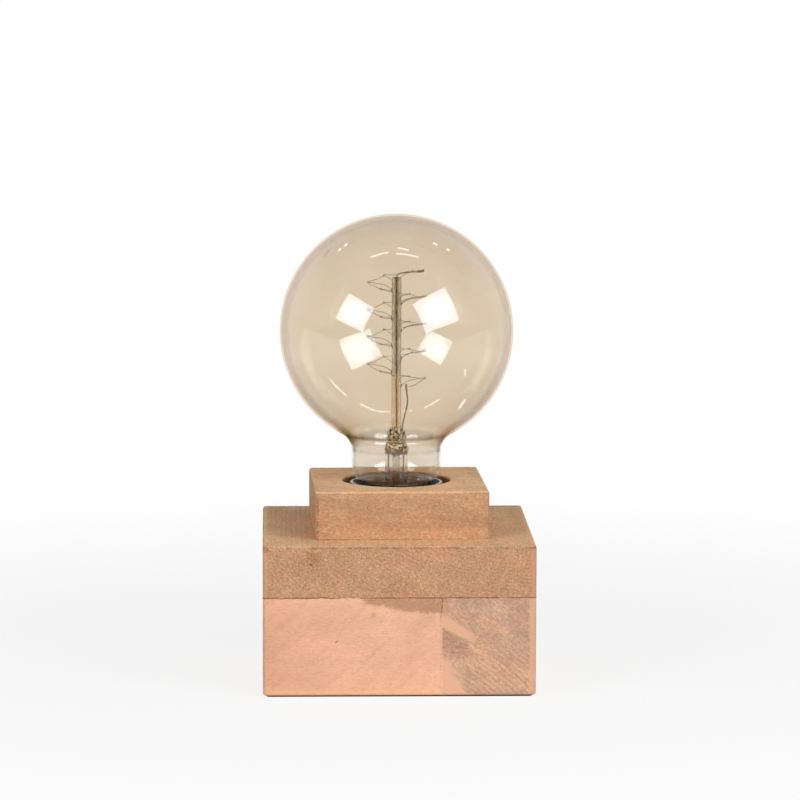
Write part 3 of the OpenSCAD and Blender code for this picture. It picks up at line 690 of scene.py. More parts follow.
def collar_wood(tones):
    """Pinkish tan wood with fine level saw marks, a lighter band along its foot, a top lightened by painted
    light, painted shade down its hole and a painted shade line at its front-left corner.
    """
    f = Finish("wood_warm")
    body, flecks = plain_wood(
        f, tones.collar, 3, (15, 14, 7), (1.4, 0.9, 0.7), (0.87, 0.835, 0.80), (1.12, 1.135, 1.13))
    saw = f.noise((16, 16, 1.0), 1, rough=0.6)
    dark = f.veins((1.7, 1.4, 1.2), 0.06, 20, (20, 80, 60))
    lift = f.both(f.noise((12, 12, 2)), 0.003)
    top = f.step(f.z, *mm(-0.9, -0.1, up=COLLAR_Z))
    side = f.step(f.x, *mm(2.6, 1.2, up=collar_low.x))
    body = f.shades(
        body,
        ((0.92, 0.90, 0.87), f.step(saw, 0.62, 0.38), 0.8),
        ((1.16, 1.18, 1.17), f.veins((1.6, 1.4, 1.2), 0.065, -25, (60, 30, 10)), 0.75),
        ((0.85, 0.79, 0.74), dark, 0.75),
        ((1.04, 0.96, 0.95), f.step(f.noise((8, 20, 5), -10, (10, 60, 80)), 0.50, 0.64)),
        ((1.14, 1.16, 1.20), f.step(f.plus(f.z, lift), *mm(7.2, 4.4, up=BOARD_Z)), 0.9),
        # Painted light: the top face is made lighter and paler, standing in for light that falls on it from
        # above
        ((1.55, 1.70, 1.76), top),
        # Painted shade: darker down the wall of the hole round the lampholder, below the collar's top
        ((0.42, 0.36, 0.30), f.step(f.z, *mm(-0.4, -1.8, up=COLLAR_Z)), f.step(f.reach(), *mm(22.8, 22.6))),
        ((0.95, 0.93, 0.82), side, 0.7, f.less(1.0, top)))
    # Painted shade: a broken dark line down the collar's front-left corner, where the front turns into the
    # side
    corner_shade_line = f.gap(f.plus(f.x, f.waver(3, 1.2 * MM, 3)), collar_low.x + 2.9 * MM)
    body = f.paint(
        body, rgba(tones.glue_and_shade, 1.2), f.step(corner_shade_line, 0.5 * MM, 0.2 * MM),
        f.step(f.noise(3.4, 0, (1, 2, 3)), 0.42, 0.54), f.step(f.y, -0.030, -0.034),
        f.step(f.z, *mm(-1.2, -2, up=COLLAR_Z)), 0.75)
    body = glue_line(f, body, tones.glue_and_shade, BOARD_Z, 0.26 * MM, 0.46)
    return wood_surface(f, body, flecks, dark)


# ---- Other finishes -------------------------------------------------------------------------------


def rim_share(f, low, high):
    """0 where glass faces the eye, 1 where it turns away at its rim."""
    return f.step(f.out("ShaderNodeLayerWeight", {"Blend": 0.5}, at="Facing"), low, high)


def clear_body(f, tint, normal, rough=0.0, edge=None, thin=None, milk=None):
    """Glass of a tint, which lets the lamps' light through.

    An edge tone keeps its outline from shining, thin glass bends less, milk stands for bubbles and seeds.
    """
    body = f.surface(Base_Color=tint, Roughness=rough, IOR=1.46, Transmission_Weight=1.0, Normal=normal)
    clear = f.clear(tint)
    if thin:
        body = f.mix_shader(thin, body, clear)
    if milk:
        white = f.out("ShaderNodeBsdfDiffuse", {"Color": (0.95, 0.80, 0.58, 1), "Normal": normal})
        body = f.mix_shader(milk, body, white)
    if edge:
        body = f.mix_shader(rim_share(f, 0.6, 0.92), body, f.clear(edge))
    return f.done(f.mix_shader(f.path("Is Shadow Ray"), body, clear))


def tube_glass():
    """Clear glass of the exhaust tube, with painted grey shade at its rims."""
    f = Finish("exhaust_glass")
    waves = f.noise((7, 7, 12), detail=1)
    # Painted shade: greyer towards the tube's outline
    tint = f.shade((0.985, 0.975, 0.955), (0.86, 0.84, 0.80), rim_share(f, 0.5, 1.0))
    return clear_body(f, tint, f.bump(waves, 0.02 * MM, 0.15), thin=0.5)


def press_glass(props):
    """Clear glass, smoked golden brown and wrinkled where it is pressed round the leads."""
    f = Finish("clear_glass")
    foot = TIP_Z + props.press_low
    smoke = f.noise((1.1, 1.1, 1.4), detail=3, rough=0.65, distort=1.0)
    pressed = f.step(f.z, *mm(-1.2, 0.6, up=foot))
    soot = f.less(smoke, f.step(f.z, *mm(4.2, 0.4, up=foot), 0.56, 0.40))
    brown = f.blend(f.step(smoke, 0.36, 0.6), (0.97, 0.86, 0.68), (1.0, 0.98, 0.93))
    brown = f.paint(brown, (0.22, 0.13, 0.05), f.step(soot, -0.03, 0.05))
    brown = f.paint(brown, (0.16, 0.09, 0.035), f.veins(2, 0.07, 30, (5, 7, 9)))
    tint = f.blend(pressed, (0.96, 0.945, 0.92), brown)
    # Painted shade: darker towards the press's outline
    tint = f.shade(tint, (0.66, 0.56, 0.44), rim_share(f, 0.6, 1.0))
    seeds = f.noise((1.1, 1.1, 1.4), 20, (3, 1, 4), rough=0.6)
    share = f.both(pressed, 0.6)
    return clear_body(
        f, tint, f.bump(smoke, 0.16 * MM, share), thin=share,
        milk=f.both(pressed, f.step(seeds, 0.49, 0.56, 0.06, 0.85)))


def globe_glass(props):
    """Lustred glass, a little clearer in the neck and deeper towards its outline, partly by painted shade,
    with painted dark shade in the bend between neck and globe.
    """
    f = Finish("tinted_glass")
    low = TIP_Z + props.neck_high
    globe = f.step(f.z, *mm(-1, 4, up=low))
    ring = f.band(f.z, *mm(-0.2, 0.5, 0.9, 1.6, up=low))
    # Painted shade: dark olive on the left and brown on the right in the bend between neck and globe,
    # standing in for the dark shapes that the glass refracts there
    bend = f.both(f.band(f.z, *mm(1.8, 4.0, 6.4, 9.8, up=low)), rim_share(f, 0.42, 0.72))
    right = f.step(f.x, -4 * MM, 4 * MM)
    left = f.less(1.0, right)
    # Tone shown at the outline, carrying the same painted bend shade
    edge = f.shades(
        f.blend(globe, (0.97, 0.935, 0.89), (0.905, 0.84, 0.76)),
        ((0.74, 0.66, 0.58), bend, right),
        ((0.52, 0.46, 0.28), bend, left))
    tint = f.shades(
        f.blend(f.step(f.z, low, low + 16 * MM), props.neck_tint, props.globe_tint),
        # Deeper tint towards the outline: partly the longer path through the glass there, partly painted
        # shade
        ((0.905, 0.89, 0.87), rim_share(f, 0.24, 0.56), globe),
        # Painted shade in the bend, as above
        ((0.66, 0.54, 0.42), bend, right),
        ((0.42, 0.36, 0.20), bend, left),
        ((0.90, 0.86, 0.80), ring, 0.6),
        ((1.0, 0.985, 0.985), f.step(f.noise((30, 30, 22)), 0.4, 0.62)),
        ((0.985, 0.99, 0.965), f.step(f.noise((22, 22, 26), 0, (9, 9, 9)), 0.42, 0.62)))
    waves = f.noise((26, 26, 34), detail=1)
    return clear_body(f, tint, f.bump(waves, 0.05 * MM, 0.1), edge=edge)


def arbor_glass():
    """Glass tube, browned by the filament near the supports and tan towards its foot, with painted dark
    shade at its outline.
    """
    f = Finish("brown_glass")
    cloud = f.noise((1.6, 1.6, 3.0), detail=3, rough=0.65)
    tint = f.blend(f.step(cloud, 0.38, 0.62), (0.46, 0.405, 0.335), (0.84, 0.785, 0.695))
    tint = f.paint(tint, (0.87, 0.76, 0.62), f.step(f.z, *mm(72.5, 69, up=TIP_Z)))
    # Painted shade: much darker towards the tube's outline and at its edge, standing in for the dark
    # surroundings that its edges refract
    tint = f.shade(tint, (0.34, 0.27, 0.20), rim_share(f, 0.35, 0.8))
    return clear_body(f, tint, f.bump(cloud, 0.05 * MM, 0.3), 0.02, edge=(0.50, 0.42, 0.32))


def metal(name, colour, rough, stain):
    """Metal with stains, uneven polish and fine marks."""
    f = Finish(name)
    cloud = f.noise(4, detail=3, rough=0.6)
    fine = f.noise(0.8, rough=0.6)
    polish = f.calc("MULTIPLY_ADD", fine, 0.6, f.both(cloud, 0.4))
    body = f.shade(colour, (0.6, 0.5, 0.4), f.step(cloud, 0.45, 0.75), stain)
    rough = f.step(polish, 0.3, 0.7, rough, rough + 0.16)
    return f.solid(body, fine, 0.06 * MM, 0.3, Metallic=1.0, Roughness=rough)


def lead_metal():
    """Nickel wire, coppery brown where it is sealed into the press."""
    f = Finish("lead_wire")
    cloud = f.noise((0.8, 0.8, 2))
    body = f.paint(
        f.blend(f.step(cloud, 0.35, 0.65), (0.30, 0.26, 0.22), (0.50, 0.45, 0.38)),
        f.blend(cloud, (0.20, 0.11, 0.06), (0.42, 0.24, 0.13)),
        f.band(f.z, *mm(37.5, 39.5, 47, 48.5, up=TIP_Z)))
    return f.solid(body, cloud, 0.02 * MM, 0.3, Metallic=0.85, Roughness=f.step(cloud, 0.3, 0.7, 0.3, 0.48))


def carbon():
    """Dull dark filament with a brownish bloom."""
    f = Finish("carbon")
    cloud = f.noise(0.6)
    body = f.blend(f.step(cloud, 0.3, 0.7), (0.10, 0.07, 0.05), (0.24, 0.17, 0.115))
    return f.solid(body, cloud, 0.02 * MM, 0.4, Metallic=0.3, Roughness=f.step(cloud, 0.3, 0.7, 0.45, 0.65))


def brass():
    """Tarnished brass sheet with darker brown spots."""
    f = Finish("cap_brass")
    cloud = f.noise(3, detail=3, rough=0.6)
    spots = f.noise(0.9)
    body = f.blend(f.step(cloud, 0.35, 0.7), (0.34, 0.26, 0.12), (0.50, 0.39, 0.19))
    body = f.paint(body, (0.17, 0.11, 0.05), f.step(spots, 0.55, 0.72), 0.6)
    return f.solid(body, spots, 0.03 * MM, 0.3, Metallic=1.0, Roughness=f.step(spots, 0.3, 0.7, 0.26, 0.42))


def moulded(name, colour, rough, lift, specks_tone=(0.5, 0.5, 0.5)):
    """Moulded plastic or ceramic: slightly clouded, with a fine orange-peel skin."""
    f = Finish(name)
    cloud = f.noise(6, detail=3, rough=0.6)
    body = f.blend(f.step(cloud, 0.35, 0.7), rgba(colour, lift), colour)
    body = f.paint(body, specks_tone, f.dust(), 0.175)
    rough = f.step(cloud, 0.3, 0.7, rough, rough + 0.12)
    return f.solid(body, f.noise(0.35), 0.03 * MM, 0.35, Roughness=rough, IOR=1.5, Specular_IOR_Level=0.5)


def shell_black():
    """Black moulded plastic, polished on its flat rim and dull inside its mouth."""
    f = Finish("black_plastic")
    rim = f.band(f.reach(), *mm(17.6, 17.9, 18.7, 18.9))
    cloud = f.noise(6, detail=3, rough=0.6)
    dull, polished = f.step(cloud, 0.3, 0.7, 0.5, 0.62), f.step(cloud, 0.3, 0.7, 0.12, 0.2)
    body = f.blend(f.step(cloud, 0.35, 0.7), (0.013, 0.012, 0.012), (0.008, 0.007, 0.007))
    body = f.paint(body, (0.03, 0.027, 0.024), f.dust(), 0.25)
    return f.solid(
        body, f.noise(0.35), 0.03 * MM, 0.35, Roughness=f.step(rim, 0.0, 1.0, dull, polished), IOR=1.5,
        Specular_IOR_Level=f.step(rim, 0.0, 1.0, 0.1, 0.42))


def felt():
    """Dark wool felt with loose fibres."""
    f = Finish("felt")
    fuzz = f.noise((0.5, 0.5, 0.25), detail=3, rough=0.7, distort=1.5)
    body = f.blend(f.step(fuzz, 0.3, 0.7), (0.018, 0.014, 0.012), (0.06, 0.048, 0.04))
    body = f.shade(body, (0.7, 0.7, 0.72), f.step(f.noise(5), 0.3, 0.7), 0.5)
    return f.solid(body, fuzz, 0.15 * MM, 0.8, Roughness=0.95, Sheen_Weight=0.4, Sheen_Roughness=0.6)


def cement():
    """Rusty brown baked cement, pitted and dull."""
    f = Finish("cement")
    grit = f.noise(0.7, detail=3, rough=0.7)
    body = f.blend(f.step(f.noise(3, detail=3), 0.3, 0.7), (0.36, 0.16, 0.075), (0.55, 0.29, 0.15))
    body = f.paint(body, (0.22, 0.10, 0.05), f.step(grit, 0.55, 0.7), 0.6)
    return f.solid(body, grit, 0.2 * MM, 0.7, Roughness=0.85)


# ---- Bulb -----------------------------------------------------------------------------------------


def globe_side(props, t, bend):
    """Half section of the globe's wall, moved inwards by t, with its neck and globe joined by a bend."""
    neck_r, shoulder_r, taper_r = props.neck_r - t, props.shoulder_r, props.taper_r
    high = GLOBE_Z - math.sqrt((GLOBE_R - t + bend) ** 2 - (neck_r + bend) ** 2)
    lean = math.degrees(math.atan2(GLOBE_Z - high, neck_r + bend))
    taper, slope = math.degrees(props.taper), math.degrees(props.foot_slope)
    middle = (
        props.neck_r - taper_r + (taper_r - shoulder_r) * math.cos(props.taper),
        props.neck_low - (taper_r - shoulder_r) * math.sin(props.taper))
    shoulder = arc(middle, shoulder_r - t, slope - 90, -taper, 12)
    fall = (shoulder[0][0] - props.foot_r + t) * math.tan(props.foot_slope)
    rim = (props.foot_r - t, shoulder[0][1] - fall)
    throat = (props.skirt_r - t, rim[1] - (rim[0] - props.skirt_r + t) * 0.9)
    points = through([(props.skirt_r - t, props.skirt_low), throat, rim, shoulder[0]], 8, 4, 4)[:-1]
    points += shoulder[:-1] + arc((props.neck_r - taper_r, props.neck_low), taper_r - t, -taper, 0, 12)
    points += line((neck_r, props.neck_low), (neck_r, high), 5)[1:]
    points += arc((neck_r + bend, high), bend, 180, 180 - lean, 16)[:-1]
    return points + arc((0, GLOBE_Z), GLOBE_R - t, -lean, 90, 84)


class LAMP_OT_globe(bpy.types.Operator):
    """Blows the globe with its neck and skirt"""

    bl_idname = "lamp.globe"
    bl_label = "Globe"

    def execute(self, context):
        props = context.scene.lamp_glass
        outer = globe_side(props, 0, props.curve_r)
        inner = globe_side(props, props.wall, props.inner_curve_r)
        bm = turned(outer[::-1] + inner, 192, closed=False)
        add_piece("globe", bm, "bulb", globe_glass(props), "tinted_glass", "bulb_glass")
        return {"FINISHED"}


def bumpy(bm, size, depth, low, high):
    """Makes glass lumpy between two heights, fading at both."""
    for vert in bm.verts:
        z, off = from_axis(vert)
        if low < z < high and off.length > SAME:
            fade = min(1.0, (z - low) / (2 * MM), (high - z) / (1 * MM))
            vert.co += off.normalized() * depth * fade * noise.noise(vert.co / size)


# place across, forth and up, and radius, of the bubbles in the press
BUBBLES = (
    (-1.4, -0.3, 44.2, 0.34), (1.2, 0.2, 45.6, 0.26), (-0.6, 0.5, 46.2, 0.3), (1.7, -0.6, 43.2, 0.3),
    (-2.0, 0.2, 42.4, 0.24), (0.5, -0.7, 42.8, 0.36), (0.1, -0.4, 44.9, 0.22), (2.1, 0.3, 44.6, 0.2),
)


class LAMP_OT_mount(bpy.types.Operator):
    """Makes the flare tube with its lumpy press, and the exhaust tube inside it"""

    bl_idname = "lamp.mount"
    bl_label = "Flare and press"

    def execute(self, context):
        props = context.scene.lamp_mount
        bm = self.flare(props, context.scene.lamp_glass)
        self.press(props, bm)
        add_piece("flare_and_press", bm, "bulb", press_glass(props), "clear_glass", "stem")
        add_piece("exhaust", self.exhaust(props), "bulb", tube_glass(), "clear_glass", "exhaust_tube")
        return {"FINISHED"}

    def flare(self, props, glass):
        """Tube with its flare at the foot and both walls closed over at the top."""
        r, t, foot, top = props.flare_r, props.flare_wall, props.press_low, props.press_high
        edge, dome = 1.2 * MM, 2.2 * MM
        rim = glass.skirt_r - glass.wall
        curve = rim - r
        bend = glass.skirt_low + curve
        outer = arc((rim, bend), curve, -90, -180, 14)[:-1]
        outer += through([(r, bend), (r, foot), (r, top - edge)], 10, 22)[:-1]
        outer += arc((r - edge, top - edge), edge, 0, 90, 5) + through([(r - edge, top), (0, top)], 5)[1:]
        high, roof = foot - 2.5 * MM, foot - 0.3 * MM
        bore = r - t
        inner = arc((rim, bend), curve + t, -90, -180, 14)[:-1] + line((bore, bend), (bore, high), 8)
        inner += arc((bore - dome, high), dome, 0, 90, 6)
        inner += through([(bore - dome, roof), (0, roof)], 3)[1:]
        return turned(outer[::-1] + inner, 72, closed=False)

    def press(self, props, bm):
        """Squeezes the tube's top flat and wide, and puts lumps and bubbles in it."""
        r, foot, top = props.flare_r, props.press_low, props.press_high
        flat, wide = props.press_t / 2 / r - 1, props.press_w / 2 / r - 1
        for vert in bm.verts:
            rise = max(0.0, min(1.0, (vert.co.z - TIP_Z - foot) / (top - foot - 1 * MM)))
            if rise > 0:
                ease = rise * rise * (3 - 2 * rise)
                round_off = 1 - 0.18 * max(0.0, rise - 0.72) / 0.28
                vert.co.y = AXIS.y + (vert.co.y - AXIS.y) * (1 + flat * ease)
                vert.co.x = AXIS.x + (vert.co.x - AXIS.x) * (1 + wide * min(1, ease * 1.6)) * round_off
        for size, depth in ((2.1, 0.55), (0.9, 0.22)):
            bumpy(bm, size * MM, depth * MM, foot - 1.2 * MM, top + 0.5 * MM)
        for *place, radius in BUBBLES:
            ball = bmesh.ops.create_icosphere(bm, subdivisions=2, radius=radius * MM)["verts"]
            bmesh.ops.scale(bm, vec=(1, 0.8, 1.5), verts=ball)
            bmesh.ops.translate(bm, vec=in_bulb(*mm(*place)), verts=ball)

    def exhaust(self, props):
        """Tube with its end melted shut."""
        r, t, low, top = props.exhaust_r, props.exhaust_wall, props.exhaust_low, props.press_low - 0.4 * MM
        straight = low + 6 * MM
        outer = arc((0, low + 1.8 * MM), 0.9 * MM, -90, 0, 5)
        outer += [(r * 0.8, low + 2.9 * MM), (r, low + 4.5 * MM)]
        outer += through([(r, straight), (r, top)], 8)
        inner = through([(r - t, top), (r - t, straight)], 8)
        inner += [((r - t) * 0.6, low + 5 * MM), (0, low + 4.6 * MM)]
        return turned(inner[::-1] + outer[::-1], 32, closed=False)


KINK_SEED = 7  # any number but 0, which stands for the clock


def hook_place(props, i):
    """Angle and height of one hook."""
    share = i / props.hooks_per_turn
    return props.first_angle + TURN * share, props.first_z - props.pitch * share


def round_axis(angle, out, z):
    """A point at an angle round the bulb's axis, in the bulb."""
    return Vector((out * math.cos(angle), out * math.sin(angle), z))


class LAMP_OT_arbor(bpy.types.Operator):
    """Draws the glass arbor, swollen where each support wire is sealed in"""

    bl_idname = "lamp.arbor"
    bl_label = "Arbor"

    def execute(self, context):
        props, coil = context.scene.lamp_mount, context.scene.lamp_filament
        r, bore, low, high = props.arbor_r, props.arbor_bore_r, props.press_high, props.arbor_high
        t = r - bore
        end = high - t / 2
        section = line((r, low), (r, end), 170) + arc((r - t / 2, end), t / 2, 0, 180, 8)
        section += through([(bore, end), (bore, low)], 60)[1:]
        bm = turned(section, 40)
        roots = [hook_place(coil, i) for i in range(coil.hooks)]
        for vert in bm.verts:
            height, off = from_axis(vert)
            if off.length < bore + t * 0.6:
                continue
            swell = 0.0
            for angle, z in roots:
                rise = (height - (z - coil.hook_rise + 0.1 * MM)) / (0.9 * MM)
                if abs(rise) < 3:
                    way = (math.atan2(off.y, off.x) - angle + math.pi) % TURN - math.pi
                    swell += 0.3 * MM * math.exp(-rise * rise - (way / 0.45) ** 2)
            vert.co += off.normalized() * swell
        bumpy(bm, 4 * MM, 0.06 * MM, low + 1 * MM, high)
        add_piece("arbor_tube", bm, "bulb", arbor_glass(), "brown_glass", "arbor")
        return {"FINISHED"}


def clamp_at(bm, end, along, radius, reach):
    """Adds a crimped clamp: a short tube, pinched twice, from the end of a lead."""
    half = reach / 2
    side = through([(radius, -half * 0.94), (radius, half * 0.94)], 14)
    section = [(0, -half), (radius * 0.8, -half)] + side + [(radius * 0.8, half), (0, half)]
    clamp = turned(section, 16, closed=False, foot=(0, 0, 0))
    for vert in clamp.verts:
        u = vert.co.z / reach
        pinch = math.exp(-((u - 0.2) / 0.1) ** 2) + math.exp(-((u + 0.2) / 0.1) ** 2)
        vert.co.y *= 1 - 0.32 * pinch
        vert.co.x *= 1 + 0.10 * pinch
    turn = along.to_track_quat("Z", "Y").to_matrix().to_4x4()
    place = Matrix.Translation(in_bulb(*(end + along * half))) @ turn
    bmesh.ops.transform(clamp, matrix=place, verts=clamp.verts)
    mesh = mesh_of("clamp", clamp)
    bm.from_mesh(mesh)
    bpy.data.meshes.remove(mesh)


def long_route(props):
    """Route of the long lead from the press, up through the arbor and out over its top."""
    top = props.arbor_high
    points = [
        (0, 1.8), (-1.2, 5), (-2.9, 10), (-2.9, 25), (-2.9, 39.9), (-2.03, 42.4), (-0.3, 46.3), (0, 48.3),
        (0, 70), (0, 90)]
    over = [(0, 0), (0.3, 0.9), (1.3, 1.5)]
    route = [Vector(mm(x, 0, z)) for x, z in points] + [Vector((x * MM, 0, top + z * MM)) for x, z in over]
    return route + [Vector((props.lead_reach, 0, top + 2.4 * MM))]


def short_route(props):
    """Route of the short lead from the cap's rim to the filament's lower end."""
    points = [
        (12.27, 13), (9, 13.2), (5.9, 13.5), (3.5, 15), (2.9, 18), (2.9, 31), (2.9, 45.3), (2.5, 48.3),
        (3.4, 53.3), (4.5, 58.8)]
    return [Vector(mm(x, 0, z)) for x, z in points] + [Vector((props.short_x, 0, props.short_top))]


class LAMP_OT_leads(bpy.types.Operator):
    """Bends both lead wires and crimps a clamp on each"""

    bl_idname = "lamp.leads"
    bl_label = "Leads and clamps"

    def execute(self, context):
        props = context.scene.lamp_mount
        long, short = long_route(props), short_route(props)
        finish = lead_metal()
        for name, route, node in (("lead_long", long, "long_lead"), ("lead_short", short, "short_lead")):
            dress(wires(name, [route], props.lead_r, sides=12, steps=6), "bulb", finish, "lead_wire", node)
        bm = bmesh.new()
        for end, along in ((long[-1], long[-1] - long[-2]), (short[-1], Vector((-0.08, 0, 1)))):
            clamp_at(bm, end, along.normalized(), props.clamp_r, props.clamp_l)
        crimped = metal("crimp_metal", (0.42, 0.38, 0.33), 0.28, 0.6)
        add_piece("crimps", tidy(bm), "bulb", crimped, "lead_wire", "lead_clamps")
        return {"FINISHED"}


class LAMP_OT_filament(bpy.types.Operator):
    """Sets the support wires round the arbor and strings the filament through their loops"""

    bl_idname = "lamp.filament"
    bl_label = "Supports and filament"

    def execute(self, context):
        props, mount = context.scene.lamp_filament, context.scene.lamp_mount
        routes = [self.support(props, mount.arbor_r, i) for i in range(props.hooks)]
        supports = wires("supports", routes, props.hook_r, sides=6, steps=2)
        finish = metal("support_wire", (0.46, 0.38, 0.30), 0.35, 0.5)
        dress(supports, "bulb", finish, "support_wire", "support_wires")
        coil = wires("filament_wire", [self.strung(props, mount)], props.filament_r, sides=6, steps=2)
        dress(coil, "bulb", carbon(), "carbon", "filament")
        return {"FINISHED"}

    def support(self, props, root, i):
        """Route of one support wire, from inside the arbor's wall up and out to its loop."""
        angle, z = hook_place(props, i)
        wobble = noise.noise(Vector((i * 1.7, 0.3, 0.9))) * 0.4 * MM
        foot = z - props.hook_rise
        flat = [
            (root - 0.7 * MM, foot), (root + 0.5 * MM, foot + 0.5 * MM),
            (root + 1.8 * MM, foot + 1.6 * MM + wobble / 2), (root + 5.2 * MM, foot + 2.6 * MM + wobble),
            (props.cage_r - props.loop_r * 1.6, z - 0.1 * MM)]
        loop = arc((props.cage_r, z), props.loop_r, 165, 165 + 300, 8)
        return [round_axis(angle, out, height) for out, height in flat + loop]

    def strung(self, props, mount):
        """Route of the filament from lead to lead, sagging between the loops and kinked all along."""
        hooks = [hook_place(props, i) for i in range(props.hooks)]
        start = Vector((mount.lead_reach + mount.clamp_l + 0.3 * MM, 0.6 * MM, mount.arbor_high + 2.4 * MM))
        end = Vector((mount.short_x + 1.1 * MM, 0, mount.short_top + 1.3 * MM))
        stops = [start] + [round_axis(angle, props.cage_r, z) for angle, z in hooks] + [end]
        steps, route = 12, []
        noise.seed_set(KINK_SEED)
        for a, b in zip(stops, stops[1:]):
            for step in range(steps):
                t = step / steps
                point = a.lerp(b, t)
                kink = noise.noise_vector(point / (1.4 * MM)) * props.kink * min(1, step)
                route.append(point - Vector((0, 0, props.sag * math.sin(math.pi * t))) + kink)
        return route + [end]


def threaded(bm, props, low, high):
    """Presses the thread into a turned wall between two heights, fading at its ends."""
    for vert in bm.verts:
        z, off = from_axis(vert)
        if low < z < high and off.length > props.cap_r - 0.8 * MM:
            fade = min(1.0, (z - low) / props.fade, (high - z) / props.fade)
            way = math.atan2(off.y, off.x)
            vert.co += off.normalized() * fade * props.half * math.cos(TURN * z / props.lead - way)


class LAMP_OT_bulb_cap(bpy.types.Operator):
    """Forms the threaded cap with its cement, black insulator and soldered contacts"""

    bl_idname = "lamp.bulb_cap"
    bl_label = "Bulb's cap"

    def execute(self, context):
        props = context.scene.lamp_thread
        bm = turned(self.side(props, 0) + self.side(props, props.cap_t)[::-1])
        threaded(bm, props, *mm(6.2, 23.1))
        add_piece("threaded_cap", bm, "bulb", brass(), "cap_brass", "screw_cap")
        self.insulator()
        self.tip()
        set_finish(cement(), "cap_cement")
        return {"FINISHED"}

    def side(self, props, d):
        """Half section of the cap, moved inwards by d, from its foot to its collar."""
        r, foot, top = props.cap_r - d, props.cap_low, props.cap_high
        collar = r + 0.4 * MM
        corners = [
            (r - 1.3 * MM, foot + 0.3 * MM), (r, foot + 1.6 * MM), (r, 23.1 * MM), (collar, 23.5 * MM),
            (collar, top - 0.6 * MM), (r + 0.7 * MM, top)]
        return [(r - 1.6 * MM + d / 2, foot)] + through(corners, 4, 118, 3, 4, 3)

    def insulator(self):
        """Black glass ring under the cap, its edges eased."""
        section = (
            (1.5, 1.5), (5.5, 1.5), (5.9, 1.9), (10.2, 4.7), (10.65, 5.2), (10.67, 7.8), (7.7, 7.8),
            (3.0, 3.5), (1.5, 3.5))
        finish = moulded("black_glass", (0.012, 0.010, 0.022), 0.12, 1.6)
        bm = turned([mm(*point) for point in section], 64)
        piece = add_piece("black_insulator", bm, "bulb_foot", finish, "black_glass", "cap_insulator")
        bevel = piece.modifiers.new("Eased", "BEVEL")
        bevel.width, bevel.segments = 0.15 * MM, 2
        bevel.limit_method, bevel.angle_limit = "ANGLE", math.radians(25)

    def tip(self):
        """Contact at the bulb's foot, domed and lumpy with solder."""
        dome_r, steps, rim = 20 * MM, 10, 4.9 * MM
        outs = [rim * n / steps for n in range(steps)]
        section = [(out, dome_r - math.sqrt(dome_r ** 2 - out ** 2)) for out in outs]
        section += [mm(*point) for point in ((4.84, 0.68), (4.9, 0.85), (4.9, 1.5), (0, 1.5))]
        bm = turned(section, 48, closed=False)
        for vert in bm.verts:
            if vert.co.z - TIP_Z < 1 * MM:
                vert.co.z += 0.1 * MM * max(0.0, noise.noise(vert.co / (1.3 * MM)) + 0.2)
        solder = metal("solder", (0.62, 0.62, 0.60), 0.24, 0.4)
        add_piece("soldered_tip", bm, "bulb_foot", solder, "solder", "tip_contact")


# ---- Lampholder -------------------------------------------------------------------------------------


class LAMP_OT_holder(bpy.types.Operator):
    """Turns the holder's black shell and threaded sleeve, and finishes its inner parts"""

    bl_idname = "lamp.holder"
    bl_label = "Lampholder"

    def execute(self, context):
        black = shell_black()
        add_piece("holder_body", self.shell(), "lamp_base", black, "black_plastic", "holder_shell")
        plated = metal("plated_sleeve", (0.66, 0.65, 0.62), 0.22, 0.3)
        bm = self.sleeve(context.scene.lamp_thread)
        add_piece("threaded_sleeve", bm, "lamp_base", plated, "plated_sleeve", "thread_sleeve")
        white = moulded("white_insulator", (0.78, 0.76, 0.70), 0.3, 0.94, (0.5, 0.45, 0.4))
        sprung = metal("contact_brass", (0.78, 0.60, 0.30), 0.24, 0.4)
        steel = metal("zinc_steel", (0.60, 0.60, 0.59), 0.3, 0.35)
        set_finish(black, "holder_cap")
        set_finish(white, "contact_block")
        set_finish(sprung, "centre_contact", "side_contact", "terminal_blocks")
        set_finish(steel, "terminal_screws", "nipple", "nipple_washer", "nipple_nut")
        return {"FINISHED"}

    def shell(self):
        """Shell with a flat rim that is rounded outside and falls in steps to its mouth."""
        rim, foot = RIM_Z - TIP_Z, shell_low.z - TIP_Z
        out, bore, mouth, edge = (shell_high.x - shell_low.x) / 2, 17.3 * MM, 14.4 * MM, 1 * MM
        section = [(bore, foot), (out, foot)] + line((out, foot + edge), (out, rim - edge), 6)
        section += arc((out - edge, rim - edge), edge, 0, 90, 8)
        falls = ((17.2, 0), (16.8, 0.2), (16.3, 0.6), (15.5, 1.3), (14.7, 2.1))
        section += [(r * MM, rim - drop * MM) for r, drop in falls]
        section += through([(mouth, rim - 3 * MM), (mouth, rim - 8 * MM)], 5)
        inside, roof = mouth + 1.2 * MM, rim - 2.2 * MM
        return turned(section + [(inside, rim - 8 * MM), (inside, roof), (bore, roof)], 128)

    def sleeve(self, props):
        """Threaded sleeve with its lip turned out."""
        r, t = props.sleeve_r, props.sleeve_t
        low, top = (corner.z - TIP_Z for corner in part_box("thread_sleeve"))
        lip, wide = top - 2.4 * MM, r + 0.6 * MM
        inside = through([(r, low), (r, lip), (wide, lip + 1.2 * MM)], 118, 3) + [(wide, top)]
        bm = turned(inside + [(a + t, b) for a, b in inside[::-1]])
        threaded(bm, props, low, lip)
        return bm


